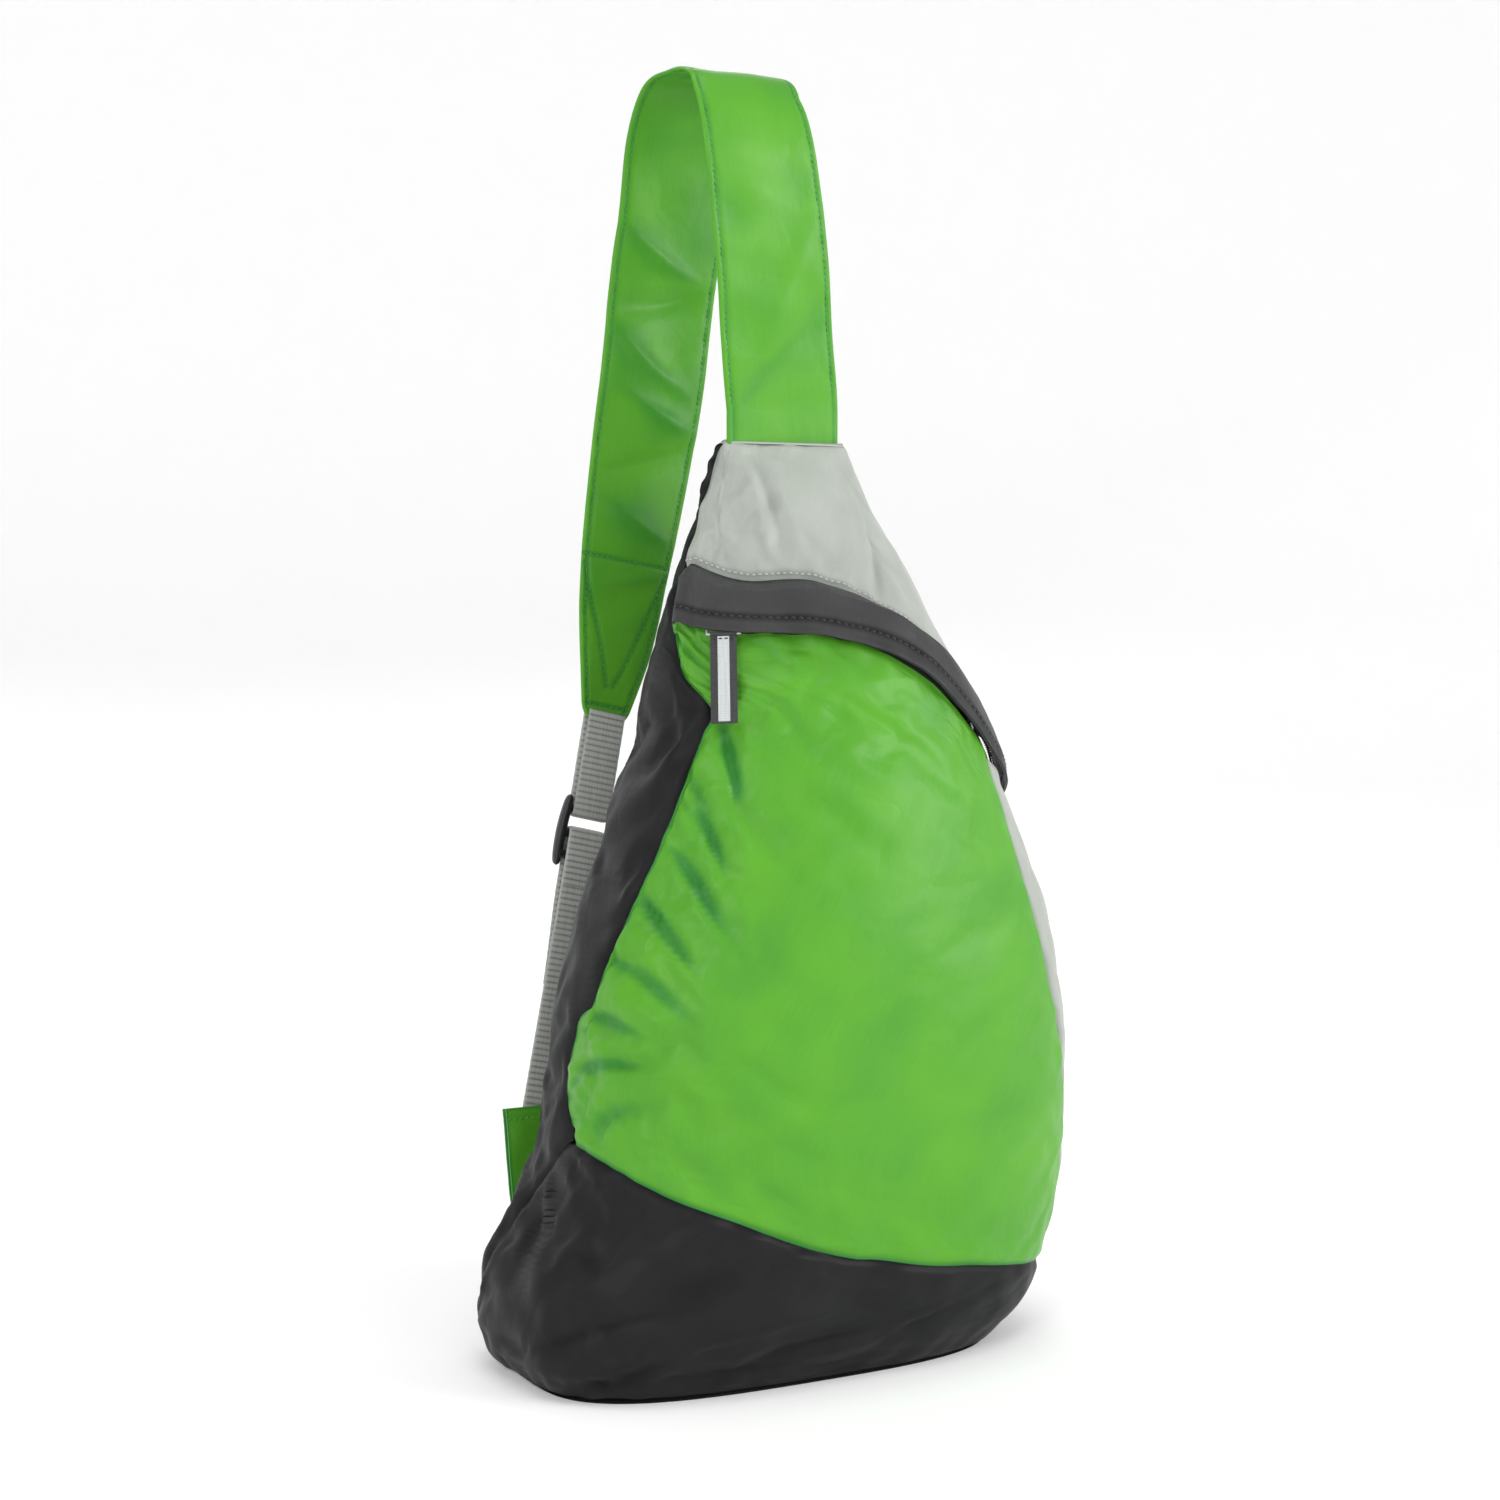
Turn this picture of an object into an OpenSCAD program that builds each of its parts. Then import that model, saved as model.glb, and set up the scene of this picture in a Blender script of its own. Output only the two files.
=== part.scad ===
// Mono-strap sling bag, standing on its base, with its front towards -Y.
// The origin is on the floor, under the middle of the base; +Z is up.
// Every cloth panel is a patch of one body surface. A place on that surface is
// (u, z): u is the angle round the bag in degrees, 0 at the front and positive
// towards +X, and z is the height above the floor.

/* [Bag] */
// Height from the floor to the top seam
bag_h = 440; // [360:5:530]
// Width that the side outlines are shares of
bag_w = 263; // [210:1:320]
// Depth that the front and back outlines are shares of
bag_d = 140; // [110:1:170]
// Thickness of a panel: shell cloth and lining together
cloth_t = 1.6; // [1:0.1:2.4]
// Thickness of the stiffened base
base_t = 2.4; // [2:0.1:4]
// Slit left between two neighbouring panels for their seam
seam_gap = 0.5; // [0.3:0.1:0.8]

/* [Zip] */
// How far the zip chain lies above the flap's lower edge
zip_hide = 13; // [12:0.5:15]
// Width of each zip tape
tape_w = 8; // [7:0.5:10]
// Thickness of the zip tape
tape_t = 0.6; // [0.4:0.1:0.8]
// Radius of the closed zip chain
chain_r = 1.5; // [1.2:0.1:1.7]
// Length of the slider along the zip
slider_l = 12; // [10:0.5:14]
// Width of the slider across the zip
slider_w = 8; // [7:0.5:9]
// Gap between the cloth and the inside of the flap's free edge
flap_lift = 7.2; // [7:0.1:9]

/* [Pull tab] */
// Width of the ribbon
ribbon_w = 12.5; // [9:0.5:16]
// Length of the ribbon below its pivot
ribbon_l = 45; // [35:1:55]
// Thickness of the doubled ribbon
ribbon_t = 1.2; // [1:0.1:1.6]
// Width of the reflective strip on the ribbon
strip_w = 5.5; // [3:0.5:7]

/* [Shoulder strap] */
// Width of the strap
strap_w = 64; // [50:1:75]
// Thickness of the doubled strap
strap_t = 3; // [2:0.1:4]
// Clear slit between the sewn-in root and the free strap
root_gap = 3; // [2.5:0.5:5]

/* [Webbing and buckle] */
// Width of the webbing
web_w = 20; // [16:1:25]
// Thickness of the webbing
web_t = 1.6; // [1.2:0.1:2]
// Radius of the buckle's cross bars
bar_r = 2; // [1.8:0.1:2.4]
// Length of the buckle's side bars
buckle_l = 36; // [34:1:42]
// Width of each side bar
side_w = 4.6; // [4:0.2:6]
// Length of the loose tail below the buckle
tail_l = 50; // [40:1:56]

/* [Hidden] */
$fn = 48;

// ---- colours ----
green = [0.38, 0.72, 0.25];
black = [0.16, 0.16, 0.17];
charcoal = [0.26, 0.26, 0.27];
grey = [0.64, 0.67, 0.63];
web_grey = [0.55, 0.58, 0.54];
silver = [0.75, 0.78, 0.78];

// ---- body outlines: [height in % of bag_h, place in % of bag_w or bag_d] ----
left_side = [[0, -44.9], [2.7, -47.2], [9, -46], [18, -40.3], [28, -37.3],
    [41, -33.8], [57, -25], [75, -14.8], [89, -7.6], [100, -2.3]];
right_side = [[0, 44.9], [2.7, 50.2], [11, 58.2], [20, 61.6], [28, 62.7], [41, 61.2],
    [57, 54.8], [75, 43.3], [89, 31.9], [97, 25.1], [100, 23.6]];
front_side = [[0, -44], [2.7, -48.6], [14, -53], [27, -55], [46, -50], [68, -33],
    [86, -10], [97, 6], [100, 11.4]];
back_side = [[0, 41], [2.7, 44.5], [14, 45], [46, 44], [68, 40], [86, 32], [97, 24],
    [100, 18.6]];
// Squareness of the section's front half, by height, and of its back half
front_square = [[0, 3], [14, 2.6], [46, 2.4], [68, 2.15], [100, 2.2]];
back_square = 4.5;

// ---- seam lines ----
// Left seam of the front: [height in %, u]. It goes on down as the boot's edge.
left_seam = [[0, -118], [9, -112], [25.5, -90], [33, -92], [41, -89], [48.5, -82],
    [54.5, -75], [62, -67], [68.5, -61], [71, -58.5], [72.4, -65], [74, -77],
    [76, -86.5], [78.5, -91], [81, -92], [100, -92]];
right_seam = [[0, 67], [20, 65], [33, 57], [42, 50], [50, 48], [65, 48], [70, 48]];
// Level seam lines: [u, height in %]
boot_top = [[-118, 25.5], [-90, 25.5], [-66, 23.6], [-48, 21.2], [-27, 18.2], [-8, 14.6],
    [8, 11.6], [22, 10.5], [45, 9], [62, 8.3], [150, 8.3]];
flap_low = [[-95, 78.4], [-60, 79.1], [-35, 78.9], [-13, 78.2], [0, 77], [13, 75.3],
    [24, 73.1], [34, 70], [44, 66.4], [60, 62.7], [80, 59.6], [150, 58]];
flap_top = [[-95, 85], [-76, 85.5], [-36, 85], [-22, 84.9], [-10, 84.4], [0, 83.3],
    [9, 82.2], [24, 79.7], [35, 78.1], [46, 75.2], [60, 71.4], [80, 67]];
back_seam_u = 142;
flap_end_u = 78;

// ---- smooth curve through knots [key, value] ----
function knot(k, x, i = 0) = i >= len(k) - 2 || x < k[i + 1][0] ? i : knot(k, x, i + 1);
function rise(k, i) = (k[i + 1][1] - k[i][1]) / (k[i + 1][0] - k[i][0]);
function slope(k, i) = i == 0 ? rise(k, 0) : i == len(k) - 1 ? rise(k, i - 1) :
    let (a = k[i][0] - k[i - 1][0], b = k[i + 1][0] - k[i][0])
    (rise(k, i - 1) * b + rise(k, i) * a) / (a + b);
function curve(k, x) =
    let (v = min(max(x, k[0][0]), k[len(k) - 1][0]), i = knot(k, v),
        h = k[i + 1][0] - k[i][0], t = (v - k[i][0]) / h, s = t * t * (3 - 2 * t))
    (1 - s) * k[i][1] + s * k[i + 1][1]
    + h * t * (1 - t) * ((1 - t) * slope(k, i) - t * slope(k, i + 1));
function mix(a, b, t) = a + (b - a) * t;
function unit(v) = v / norm(v);
function power(x, p) = sign(x) * pow(abs(x), p);

// ---- body surface before it is drawn to the zip ----
function high(share) = share / 100 * bag_h;
function share_of(z) = z / bag_h * 100;
function bare(u, z) =
    let (h = share_of(z),
        l = curve(left_side, h) * bag_w / 100, r = curve(right_side, h) * bag_w / 100,
        f = curve(front_side, h) * bag_d / 100, b = curve(back_side, h) * bag_d / 100,
        p = 2 / (cos(u) >= 0 ? curve(front_square, h) : back_square))
    [(l + r) / 2 + (r - l) / 2 * power(sin(u), p),
        (f + b) / 2 - (b - f) / 2 * power(cos(u), p), z];

// ---- zip circle: through three points of the bare surface ----
function over_edge(u) = bare(u, high(curve(flap_low, u)) + zip_hide);
zip_a = over_edge(-70);
zip_b = over_edge(-14);
zip_c = over_edge(56);
zip_n = unit(cross(zip_b - zip_a, zip_c - zip_a));
function circle_centre(a, b, c) =
    let (p = b - a, q = c - a, n = cross(p, q))
    a + (cross(n, p) * (q * q) + cross(q, n) * (p * p)) / (2 * (n * n));
zip_centre = circle_centre(zip_a, zip_b, zip_c);
zip_r = norm(zip_a - zip_centre);
zip_lean = acos(zip_n.z);
zip_turn = atan2(zip_n.y, zip_n.x);
zip_x = [cos(zip_lean) * cos(zip_turn), cos(zip_lean) * sin(zip_turn), -sin(zip_lean)];
zip_y = [-sin(zip_turn), cos(zip_turn), 0];
// Angle of a point about the zip's centre, from 0 to 360 degrees
function zip_angle(p) =
    let (a = atan2((p - zip_centre) * zip_y, (p - zip_centre) * zip_x)) a < 0 ? a + 360 : a;
// Height at which the zip's plane meets the bare surface, by halving
function meet(u, lo, hi, n) = n == 0 ? (lo + hi) / 2 :
    let (m = (lo + hi) / 2) (bare(u, m) - zip_centre) * zip_n > 0 ?
        meet(u, lo, m, n - 1) : meet(u, m, hi, n - 1);
zip_table = [for (u = [-100:5:100]) [u, meet(u, high(45), high(98), 14)]];
function zip_z(u) = lookup(u, zip_table);
// How the cloth is drawn to the zip's circle, fading out up, down and at the ends
function pull_at(u) = let (v = bare(u, zip_z(u)) - zip_centre) unit(v) * (zip_r - norm(v));
pull_table = [for (u = [-100:5:100]) [u, pull_at(u)]];
function pull(u) = [for (i = [0:2]) lookup(u, [for (e = pull_table) [e[0], e[1][i]]])];
draw_reach = 45;
function body(u, z) = abs(u) > 100 ? bare(u, z) :
    bare(u, z) + pull(u) * exp(-pow((z - zip_z(u)) / draw_reach, 2))
    * min(1, (100 - abs(u)) / 15);

// ---- cloth patches ----
// A point off the surface by a distance outwards
function normal(u, z) = unit(cross(body(u + 1, z) - body(u - 1, z),
    body(u, z + 1) - body(u, z - 1)));
function off(p, out) = body(p[0], p[1]) + out * normal(p[0], p[1]);
// A patch between two upright seams (u of height) and two level seams (height of u).
// ends holds the heights of the left seam's ends, then of the right seam's ends.
function patch(lf, rf, bf, tf, ends, s, t) =
    let (zl = mix(ends[0], ends[1], t), zr = mix(ends[2], ends[3], t),
        u = mix(lf(zl), rf(zr), s),
        ub = mix(lf(ends[0]), rf(ends[2]), s), ut = mix(lf(ends[1]), rf(ends[3]), s))
    [u, mix(zl, zr, s) + (1 - t) * (bf(ub) - mix(ends[0], ends[2], s))
        + t * (tf(ut) - mix(ends[1], ends[3], s))];
// A closed sheet: uv(s, t) places it and out(s, t) gives [inner, outer] distances
module sheet(uv, out, ns, nt, long, high) {
    es = seam_gap / 2 / long;
    et = seam_gap / 2 / high;
    function at(i, j, side) = let (s = mix(es, 1 - es, i / ns), t = mix(et, 1 - et, j / nt))
        off(uv(s, t), out(s, t)[side]);
    slab([for (side = [0, 1]) [for (j = [0:nt]) [for (i = [0:ns]) at(i, j, side)]]]);
}
// A closed solid between two grids of points, the inner one first
module slab(grids) {
    nt = len(grids[0]) - 1;
    ns = len(grids[0][0]) - 1;
    function id(side, i, j) = (side * (nt + 1) + j) * (ns + 1) + i;
    function quad(a, b, c, d) = [[a, b, c], [a, c, d]];
    outer = [for (j = [0:nt - 1]) for (i = [0:ns - 1])
        each quad(id(1, i, j), id(1, i, j + 1), id(1, i + 1, j + 1), id(1, i + 1, j))];
    inner = [for (j = [0:nt - 1]) for (i = [0:ns - 1])
        each quad(id(0, i, j), id(0, i + 1, j), id(0, i + 1, j + 1), id(0, i, j + 1))];
    rims = [for (i = [0:ns - 1]) each concat(
            quad(id(0, i, 0), id(1, i, 0), id(1, i + 1, 0), id(0, i + 1, 0)),
            quad(id(0, i, nt), id(0, i + 1, nt), id(1, i + 1, nt), id(1, i, nt)))];
    sides = [for (j = [0:nt - 1]) each concat(
            quad(id(0, 0, j), id(0, 0, j + 1), id(1, 0, j + 1), id(1, 0, j)),
            quad(id(0, ns, j), id(1, ns, j), id(1, ns, j + 1), id(0, ns, j + 1)))];
    polyhedron([for (g = grids) for (row = g) each row],
        concat(outer, inner, rims, sides), convexity = 8);
}
function wall(s, t) = [-cloth_t, 0];
function left_u(z) = curve(left_seam, share_of(z));
function right_u(z) = curve(right_seam, share_of(z));
function boot_z(u) = high(curve(boot_top, u));
function flap_low_z(u) = high(curve(flap_low, u));
function flap_top_z(u) = high(curve(flap_top, min(u, flap_end_u)));
function floor_z(u) = base_t;
function top_z(u) = bag_h;
// The panels below the zip end just above the flap's free edge
panel_hide = 2;
function panel_top_z(u) = flap_low_z(u) + panel_hide;
// The upper panel's lower edge follows the flap's seam, then drops to the gusset
function upper_low_z(u) = u <= flap_end_u ? flap_top_z(u) :
    mix(flap_top_z(flap_end_u), panel_top_z(u), min(1, (u - flap_end_u) / 10));

module base_panel() color(black) linear_extrude(base_t)
    polygon([for (u = [0:6:354]) let (p = bare(u, 0)) [p.x, p.y]]);

module boot_panel() {
    lf = function(z) left_u(z);
    rf = function(z) back_seam_u;
    bf = function(u) floor_z(u);
    tf = function(u) boot_z(u);
    ends = [base_t, high(25.5), base_t, boot_z(back_seam_u)];
    color(black) sheet(function(s, t) patch(lf, rf, bf, tf, ends, s, t),
        function(s, t) wall(s, t), 26, 6, 480, 60);
}

module front_panel() {
    lf = function(z) left_u(z);
    rf = function(z) right_u(z);
    bf = function(u) boot_z(u);
    tf = function(u) panel_top_z(u);
    ends = [high(25.5), panel_top_z(-91), boot_z(47), panel_top_z(48)];
    color(green) sheet(function(s, t) patch(lf, rf, bf, tf, ends, s, t),
        function(s, t) wall(s, t), 14, 26, 150, 230);
}

module right_gusset() {
    lf = function(z) right_u(z);
    rf = function(z) back_seam_u;
    bf = function(u) boot_z(u);
    tf = function(u) panel_top_z(u);
    ends = [boot_z(47), panel_top_z(48), boot_z(back_seam_u), panel_top_z(back_seam_u)];
    color(grey) sheet(function(s, t) patch(lf, rf, bf, tf, ends, s, t),
        function(s, t) wall(s, t), 14, 14, 150, 230);
}

module upper_panel() {
    lf = function(z) left_u(z);
    rf = function(z) back_seam_u;
    bf = function(u) upper_low_z(u);
    tf = function(u) top_z(u);
    ends = [flap_top_z(-92), bag_h, upper_low_z(back_seam_u), bag_h];
    color(grey) sheet(function(s, t) patch(lf, rf, bf, tf, ends, s, t),
        function(s, t) wall(s, t), 24, 8, 110, 90);
}

module left_gusset() {
    lf = function(z) -back_seam_u;
    rf = function(z) left_u(z);
    bf = function(u) floor_z(u);
    tf = function(u) top_z(u);
    ends = [base_t, bag_h, base_t, bag_h];
    color(black) sheet(function(s, t) patch(lf, rf, bf, tf, ends, s, t),
        function(s, t) wall(s, t), 6, 52, 60, 440);
}

module back_panel() {
    lf = function(z) back_seam_u;
    rf = function(z) 360 - back_seam_u;
    bf = function(u) floor_z(u);
    tf = function(u) top_z(u);
    ends = [base_t, bag_h, base_t, bag_h];
    color(charcoal) sheet(function(s, t) patch(lf, rf, bf, tf, ends, s, t),
        function(s, t) wall(s, t), 10, 16, 90, 440);
}

// The flap is sewn along its top edge and stands off the cloth at its free edge
module storm_flap() {
    lf = function(z) -91;
    rf = function(z) flap_end_u;
    bf = function(u) flap_low_z(u);
    tf = function(u) flap_top_z(u) - seam_gap;
    ends = [flap_low_z(-91), flap_top_z(-91), flap_low_z(flap_end_u), flap_top_z(flap_end_u)];
    out = function(s, t) let (lift = flap_lift * min(1, 3.4 * (1 - t)) + 0.3)
        [lift, lift + cloth_t];
    color(charcoal) sheet(function(s, t) patch(lf, rf, bf, tf, ends, s, t), out,
        22, 5, 230, 30);
}

// ---- zip ----
zip_from_u = -70;
zip_to_u = 67;
slider_u = -58;
slider_far_u = 60;
function zip_u_angle(u) = zip_angle(body(u, zip_z(u)));
rest_angle = zip_u_angle(slider_u);
travel = zip_u_angle(slider_far_u) - rest_angle;
// Places its children on the zip's circle: X outwards, Y along the zip, Z up the cloth
module on_zip(angle, tilt) translate(zip_centre) rotate([0, zip_lean, zip_turn])
    rotate([0, 0, angle]) translate([zip_r, 0, 0]) rotate([0, tilt, 0]) children();
slider_tilt = 20;
// The puller lies a little flatter than the cloth just below the slider
cloth_run = 25;
puller_lean = -2.3;
function cloth_tilt(u) = let (p = body(u, zip_z(u)), v = p - body(u, zip_z(u) - cloth_run))
    atan2(v * unit(p - zip_centre), v * zip_n);
puller_tilt = cloth_tilt(slider_u) + puller_lean;

// Tapes: distances from the chain are measured along the cloth
tape_gap = 1.1;
tape_over = 4;
function up_cloth(u, d) = zip_z(u) + d / norm(body(u, zip_z(u) + 1) - body(u, zip_z(u)));
module zip_tape(side) {
    near = chain_r + tape_gap;
    uv = function(s, t) let (u = mix(zip_from_u - tape_over, zip_to_u + tape_over, s))
        [u, up_cloth(u, side * mix(near, tape_w, t))];
    flip = side > 0 ? uv : function(s, t) uv(s, 1 - t);
    color(black) sheet(flip, function(s, t) [0.1, 0.1 + tape_t], 40, 1, 230, 40);
}
module zip_tape_upper() zip_tape(1);
module zip_tape_lower() zip_tape(-1);

stop_gap = 1.2;
stop_t = 2.6;
stop_h = 2 * chain_r - 1.2;
chain_from = rest_angle + asin((slider_l / 2 + 1) / zip_r);
module zip_chain() color(black) translate(zip_centre) rotate([0, zip_lean, zip_turn])
    rotate([0, 0, chain_from]) rotate_extrude(angle = zip_u_angle(zip_to_u) - chain_from)
    translate([zip_r, 0]) circle(chain_r);

module zip_stops() color(silver)
    for (end = [[zip_from_u, -1], [zip_to_u, 1]])
        on_zip(zip_u_angle(end[0]), slider_tilt)
            translate([0, end[1] * (1.5 + stop_gap), 0]) cube([stop_t, 3, stop_h], center = true);

// Two plates joined by the bridge that carries the puller and by the wedge between the rows
plate_t = 1.1;
wire_r = 0.7;
plate_gap = chain_r + 0.4;
module zip_slider() color(charcoal) on_zip(rest_angle, slider_tilt) {
    for (side = [-1, 1])
        translate([side * (plate_gap + plate_t / 2), 0, 0]) rotate([0, 90, 0]) hull() {
            translate([0, slider_l / 2 - 2, 0]) cylinder(r = 2, h = plate_t, center = true);
            for (k = [-1, 1]) translate([k * (slider_w / 2 - 1.5), -slider_l / 2 + 1.5, 0])
                cylinder(r = 1.5, h = plate_t, center = true);
        }
    translate([0, -slider_l / 2 + 2, 0]) cube([2 * plate_gap + 0.2, 1.6, 1.6], center = true);
}

// A wire frame: one end turns on the slider, the other carries the ribbon's fold
pivot_x = plate_gap + plate_t + wire_r + 0.15;
pivot_z = -(zip_hide + 4.5);
wire_half = ribbon_w / 2 + 1.5;
module puller_frame() on_zip(rest_angle, puller_tilt) translate([pivot_x, 0, 0]) children();
module zip_puller() color(silver) puller_frame() {
    for (z = [0, pivot_z]) translate([0, 0, z]) rotate([90, 0, 0])
        cylinder(r = wire_r, h = 2 * wire_half, center = true);
    for (y = [-wire_half, wire_half]) {
        translate([0, y, pivot_z]) cylinder(r = wire_r, h = -pivot_z);
        for (z = [0, pivot_z]) translate([0, y, z]) sphere(r = wire_r);
    }
}

// Ribbon folded round the puller's lower wire, with its two layers sewn together
fold_gap = 0.15;
fold_out = wire_r + fold_gap + ribbon_t / 2;
module pull_tab() color(black) puller_frame() translate([0, 0, pivot_z])
    rotate([90, 0, 0]) linear_extrude(ribbon_w, center = true) difference() {
        union() {
            circle(fold_out);
            translate([-ribbon_t / 2, -ribbon_l]) square([ribbon_t, ribbon_l]);
        }
        circle(wire_r + fold_gap);
    }
module reflective_strip() color(silver) puller_frame()
    translate([ribbon_t / 2 + 0.05, -strip_w / 2, pivot_z - ribbon_l + 0.6])
    cube([0.3, strip_w, ribbon_l - fold_out - 1.6]);

// ---- top seam ----
seam_h = 3;
root_h = 8;
top_centre = (bare(90, bag_h) + bare(-90, bag_h)) / 2;
root = [top_centre.x, (bare(0, bag_h).y + bare(180, bag_h).y) / 2, bag_h + seam_h];
module top_binding() color(black) translate([0, 0, bag_h]) linear_extrude(seam_h)
    polygon([for (u = [0:8:352]) let (p = bare(u, bag_h)) [p.x, p.y]]);
module strap_root() color(green) translate([root.x - strap_w / 2, root.y - strap_t / 2, root.z])
    cube([strap_w, strap_t, root_h]);

// ---- shoulder strap: centre line from its root, [x, y, z, width in % of strap_w] ----
// The free strap begins upright at the second station; the first only guides the curve
strap_line = [[-3.5, -2, 0, 100], [-0.5, 0, root_h + root_gap, 100], [-4, -2, 39, 100],
    [-8, -4, 79, 100], [-12, -4, 116, 99], [-15, -1, 145, 97], [-17, 5, 163, 94], [-16, 16, 174, 92], [-16, 37, 178, 92],
    [-17, 60, 174, 94], [-20, 72, 149, 96], [-22, 76, 114, 97], [-26, 78, 84, 96],
    [-33, 78, 29, 94], [-40, 77, -11, 90], [-50, 74, -61, 80], [-56, 73, -102, 66],
    [-64, 71, -141, 39]];
// Catmull-Rom curve through the line's stations, t counted in stations
function strap_at(t) =
    let (n = len(strap_line) - 1, i = min(floor(t), n - 1), f = t - i,
        a = strap_line[max(i - 1, 0)], b = strap_line[i], c = strap_line[i + 1],
        d = strap_line[min(i + 2, n)])
    0.5 * (2 * b + (c - a) * f + (2 * a - 5 * b + 4 * c - d) * f * f
        + (3 * b - a - 3 * c + d) * f * f * f);
function strap_point(t) = let (p = strap_at(t)) root + [p[0], p[1], p[2]];
function strap_across(t) =
    let (d = unit(strap_point(t + 0.02) - strap_point(t - 0.02)), x = [1, 0.05, 0])
    unit(x - d * (x * d));
function strap_out(t) = cross(strap_across(t), unit(strap_point(t + 0.02) - strap_point(t - 0.02)));
function strap_width(t) = strap_at(t)[3] / 100 * strap_w;
// A flat run of strap from station t0 to station t1
module strap_run(t0, t1, rings) {
    slab([for (side = [-1, 1]) [for (j = [0:rings]) let (t = mix(t0, t1, j / rings))
        [for (k = [-1, 1]) strap_point(t) + k * strap_width(t) / 2 * strap_across(t)
            + side * strap_t / 2 * strap_out(t)]]]);
}
free_t = 1;
crown_t = [6.6, 10.2];
end_t = 14.9;
last_t = len(strap_line) - 1;
run_gap = 0.01;
module strap_front() color(green) strap_run(free_t, crown_t[0] - run_gap, 12);
module strap_crown() color(green) strap_run(crown_t[0], crown_t[1], 10);
module strap_back() color(green) strap_run(crown_t[1] + run_gap, end_t, 12);
module strap_end() color(green) strap_run(end_t + run_gap, last_t - 0.02, 8);

// ---- fabric tab at the lower left corner, and the webbing's line up to the strap ----
tab_w = 32;
tab_h = 54;
layer_t = 1.1;
layer_gap = web_t + 1;
corner = bare(-128, high(26));
tab_top = corner + [2, 21.5, 0];
tab_foot = corner + [2, 12.5, -tab_h];
web_foot = tab_top + [tab_w / 2 - web_w / 2 - 2, 0, 0];
web_head = strap_point(last_t);
web_dir = unit(web_head - web_foot);
web_len = norm(web_head - web_foot);
web_across = unit([1, 0, 0] - web_dir * web_dir.x);
web_out = cross(web_dir, web_across);
// Places its children on the webbing's line: X across, Y away from the bag, Z up the line
module on_web(along) multmatrix([for (i = [0:2]) [web_across[i], web_out[i], web_dir[i],
    web_foot[i] + along * web_dir[i]]]) children();
// Along the tab from its top to its foot, and square to its two layers
tab_down = unit(tab_foot - tab_top);
tab_out = [0, -tab_down.z, tab_down.y];
// One layer of the tab: flat from its top down to the foot that is sewn to the bag
module tab_layer(side) {
    drop = [0, 0.45, 1];
    opening = [layer_gap / 2, layer_gap / 2, 0.15];
    faces = side > 0 ? [layer_t, 0] : [0, layer_t];
    slab([for (f = faces) [for (j = [2, 1, 0]) [for (k = [-1, 1])
        tab_top + tab_down * tab_h * drop[j] + [k * tab_w / 2, 0, 0]
        + tab_out * side * (opening[j] + f)]]]);
}
module tab_front() color(green) tab_layer(-1);
module tab_back() color(green) tab_layer(1);

root_in = 12;
root_up = 2;
module webbing_root() color(web_grey)
    multmatrix([for (i = [0:2]) [i == 0 ? 1 : 0, tab_out[i], -tab_down[i], web_foot[i]]])
    translate([-web_w / 2, -web_t / 2, -root_in]) cube([web_w, web_t, root_in + root_up]);

// ---- buckle, hung on the strap's loop and gripping the lower webbing ----
buckle_along = web_len - 58;
buckle_lean = 8;
bar_z = [buckle_l / 2 - 5, -1, -buckle_l / 2 + 6];
inner_w = web_w + 1.2;
side_r = bar_r + 1;
module buckle() color(black) on_web(buckle_along) {
    for (z = bar_z) translate([0, 0, z]) rotate([0, 90, 0])
        cylinder(r = bar_r, h = inner_w + side_w, center = true);
    for (k = [-1, 1]) translate([k * (inner_w + side_w) / 2, 0, 0]) rotate([buckle_lean, 0, 0]) {
        cube([side_w, 2 * side_r, buckle_l - 2 * side_r], center = true);
        for (e = [-1, 1]) translate([0, 0, e * (buckle_l / 2 - side_r)])
            rotate([0, 90, 0]) cylinder(r = side_r, h = side_w, center = true);
    }
}
fit_gap = 0.2;
// Webbing bent round a bar: a half ring with two legs, drawn in the Y-Z plane
module web_profile(up, legs) {
    r0 = bar_r + fit_gap;
    difference() {
        circle(r0 + web_t);
        circle(r0);
        translate([-10, up > 0 ? 0 : -20]) square([20, 20]);
    }
    for (k = [0, 1]) if (legs[k] > 0)
        translate([k == 0 ? -r0 - web_t : r0, up > 0 ? 0 : -legs[k]]) square([web_t, legs[k]]);
}
module on_bar(i) on_web(buckle_along + bar_z[i])
    rotate([90, 0, 90]) linear_extrude(web_w, center = true) children();
head_gap = 0.8;
loop_leg = web_len - buckle_along - bar_z[0] - head_gap;
module webbing_loop() color(web_grey) on_bar(0) web_profile(1, [loop_leg, loop_leg * 0.8]);
bend_leg = 26;
module webbing_bend() color(web_grey) on_bar(1) mirror([0, 1]) web_profile(1, [bend_leg, bend_leg]);
tail_gap = 0.1;
module webbing_tail() color(web_grey) on_bar(1)
    translate([bar_r + fit_gap, -bend_leg - tail_gap - tail_l]) square([web_t, tail_l]);
module webbing_lower() color(web_grey) on_web(0) {
    start = root_up + root_gap;
    stop = buckle_along + bar_z[1] - bend_leg - tail_gap;
    shift = -bar_r - fit_gap - web_t / 2;
    multmatrix([[1, 0, 0, 0], [0, 1, shift / (stop - start), 0], [0, 0, 1, start]])
        translate([-web_w / 2, -web_t / 2, 0]) cube([web_w, web_t, stop - start]);
}

base_panel();
boot_panel();
front_panel();
upper_panel();
right_gusset();
left_gusset();
back_panel();
storm_flap();
zip_tape_upper();
zip_tape_lower();
zip_chain();
zip_stops();
top_binding();
strap_root();
tab_front();
tab_back();
webbing_root();
zip_slider();
zip_puller();
pull_tab();
reflective_strip();
strap_front();
strap_crown();
strap_back();
webbing_lower();
strap_end();
webbing_loop();
buckle();
webbing_bend();
webbing_tail();
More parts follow.
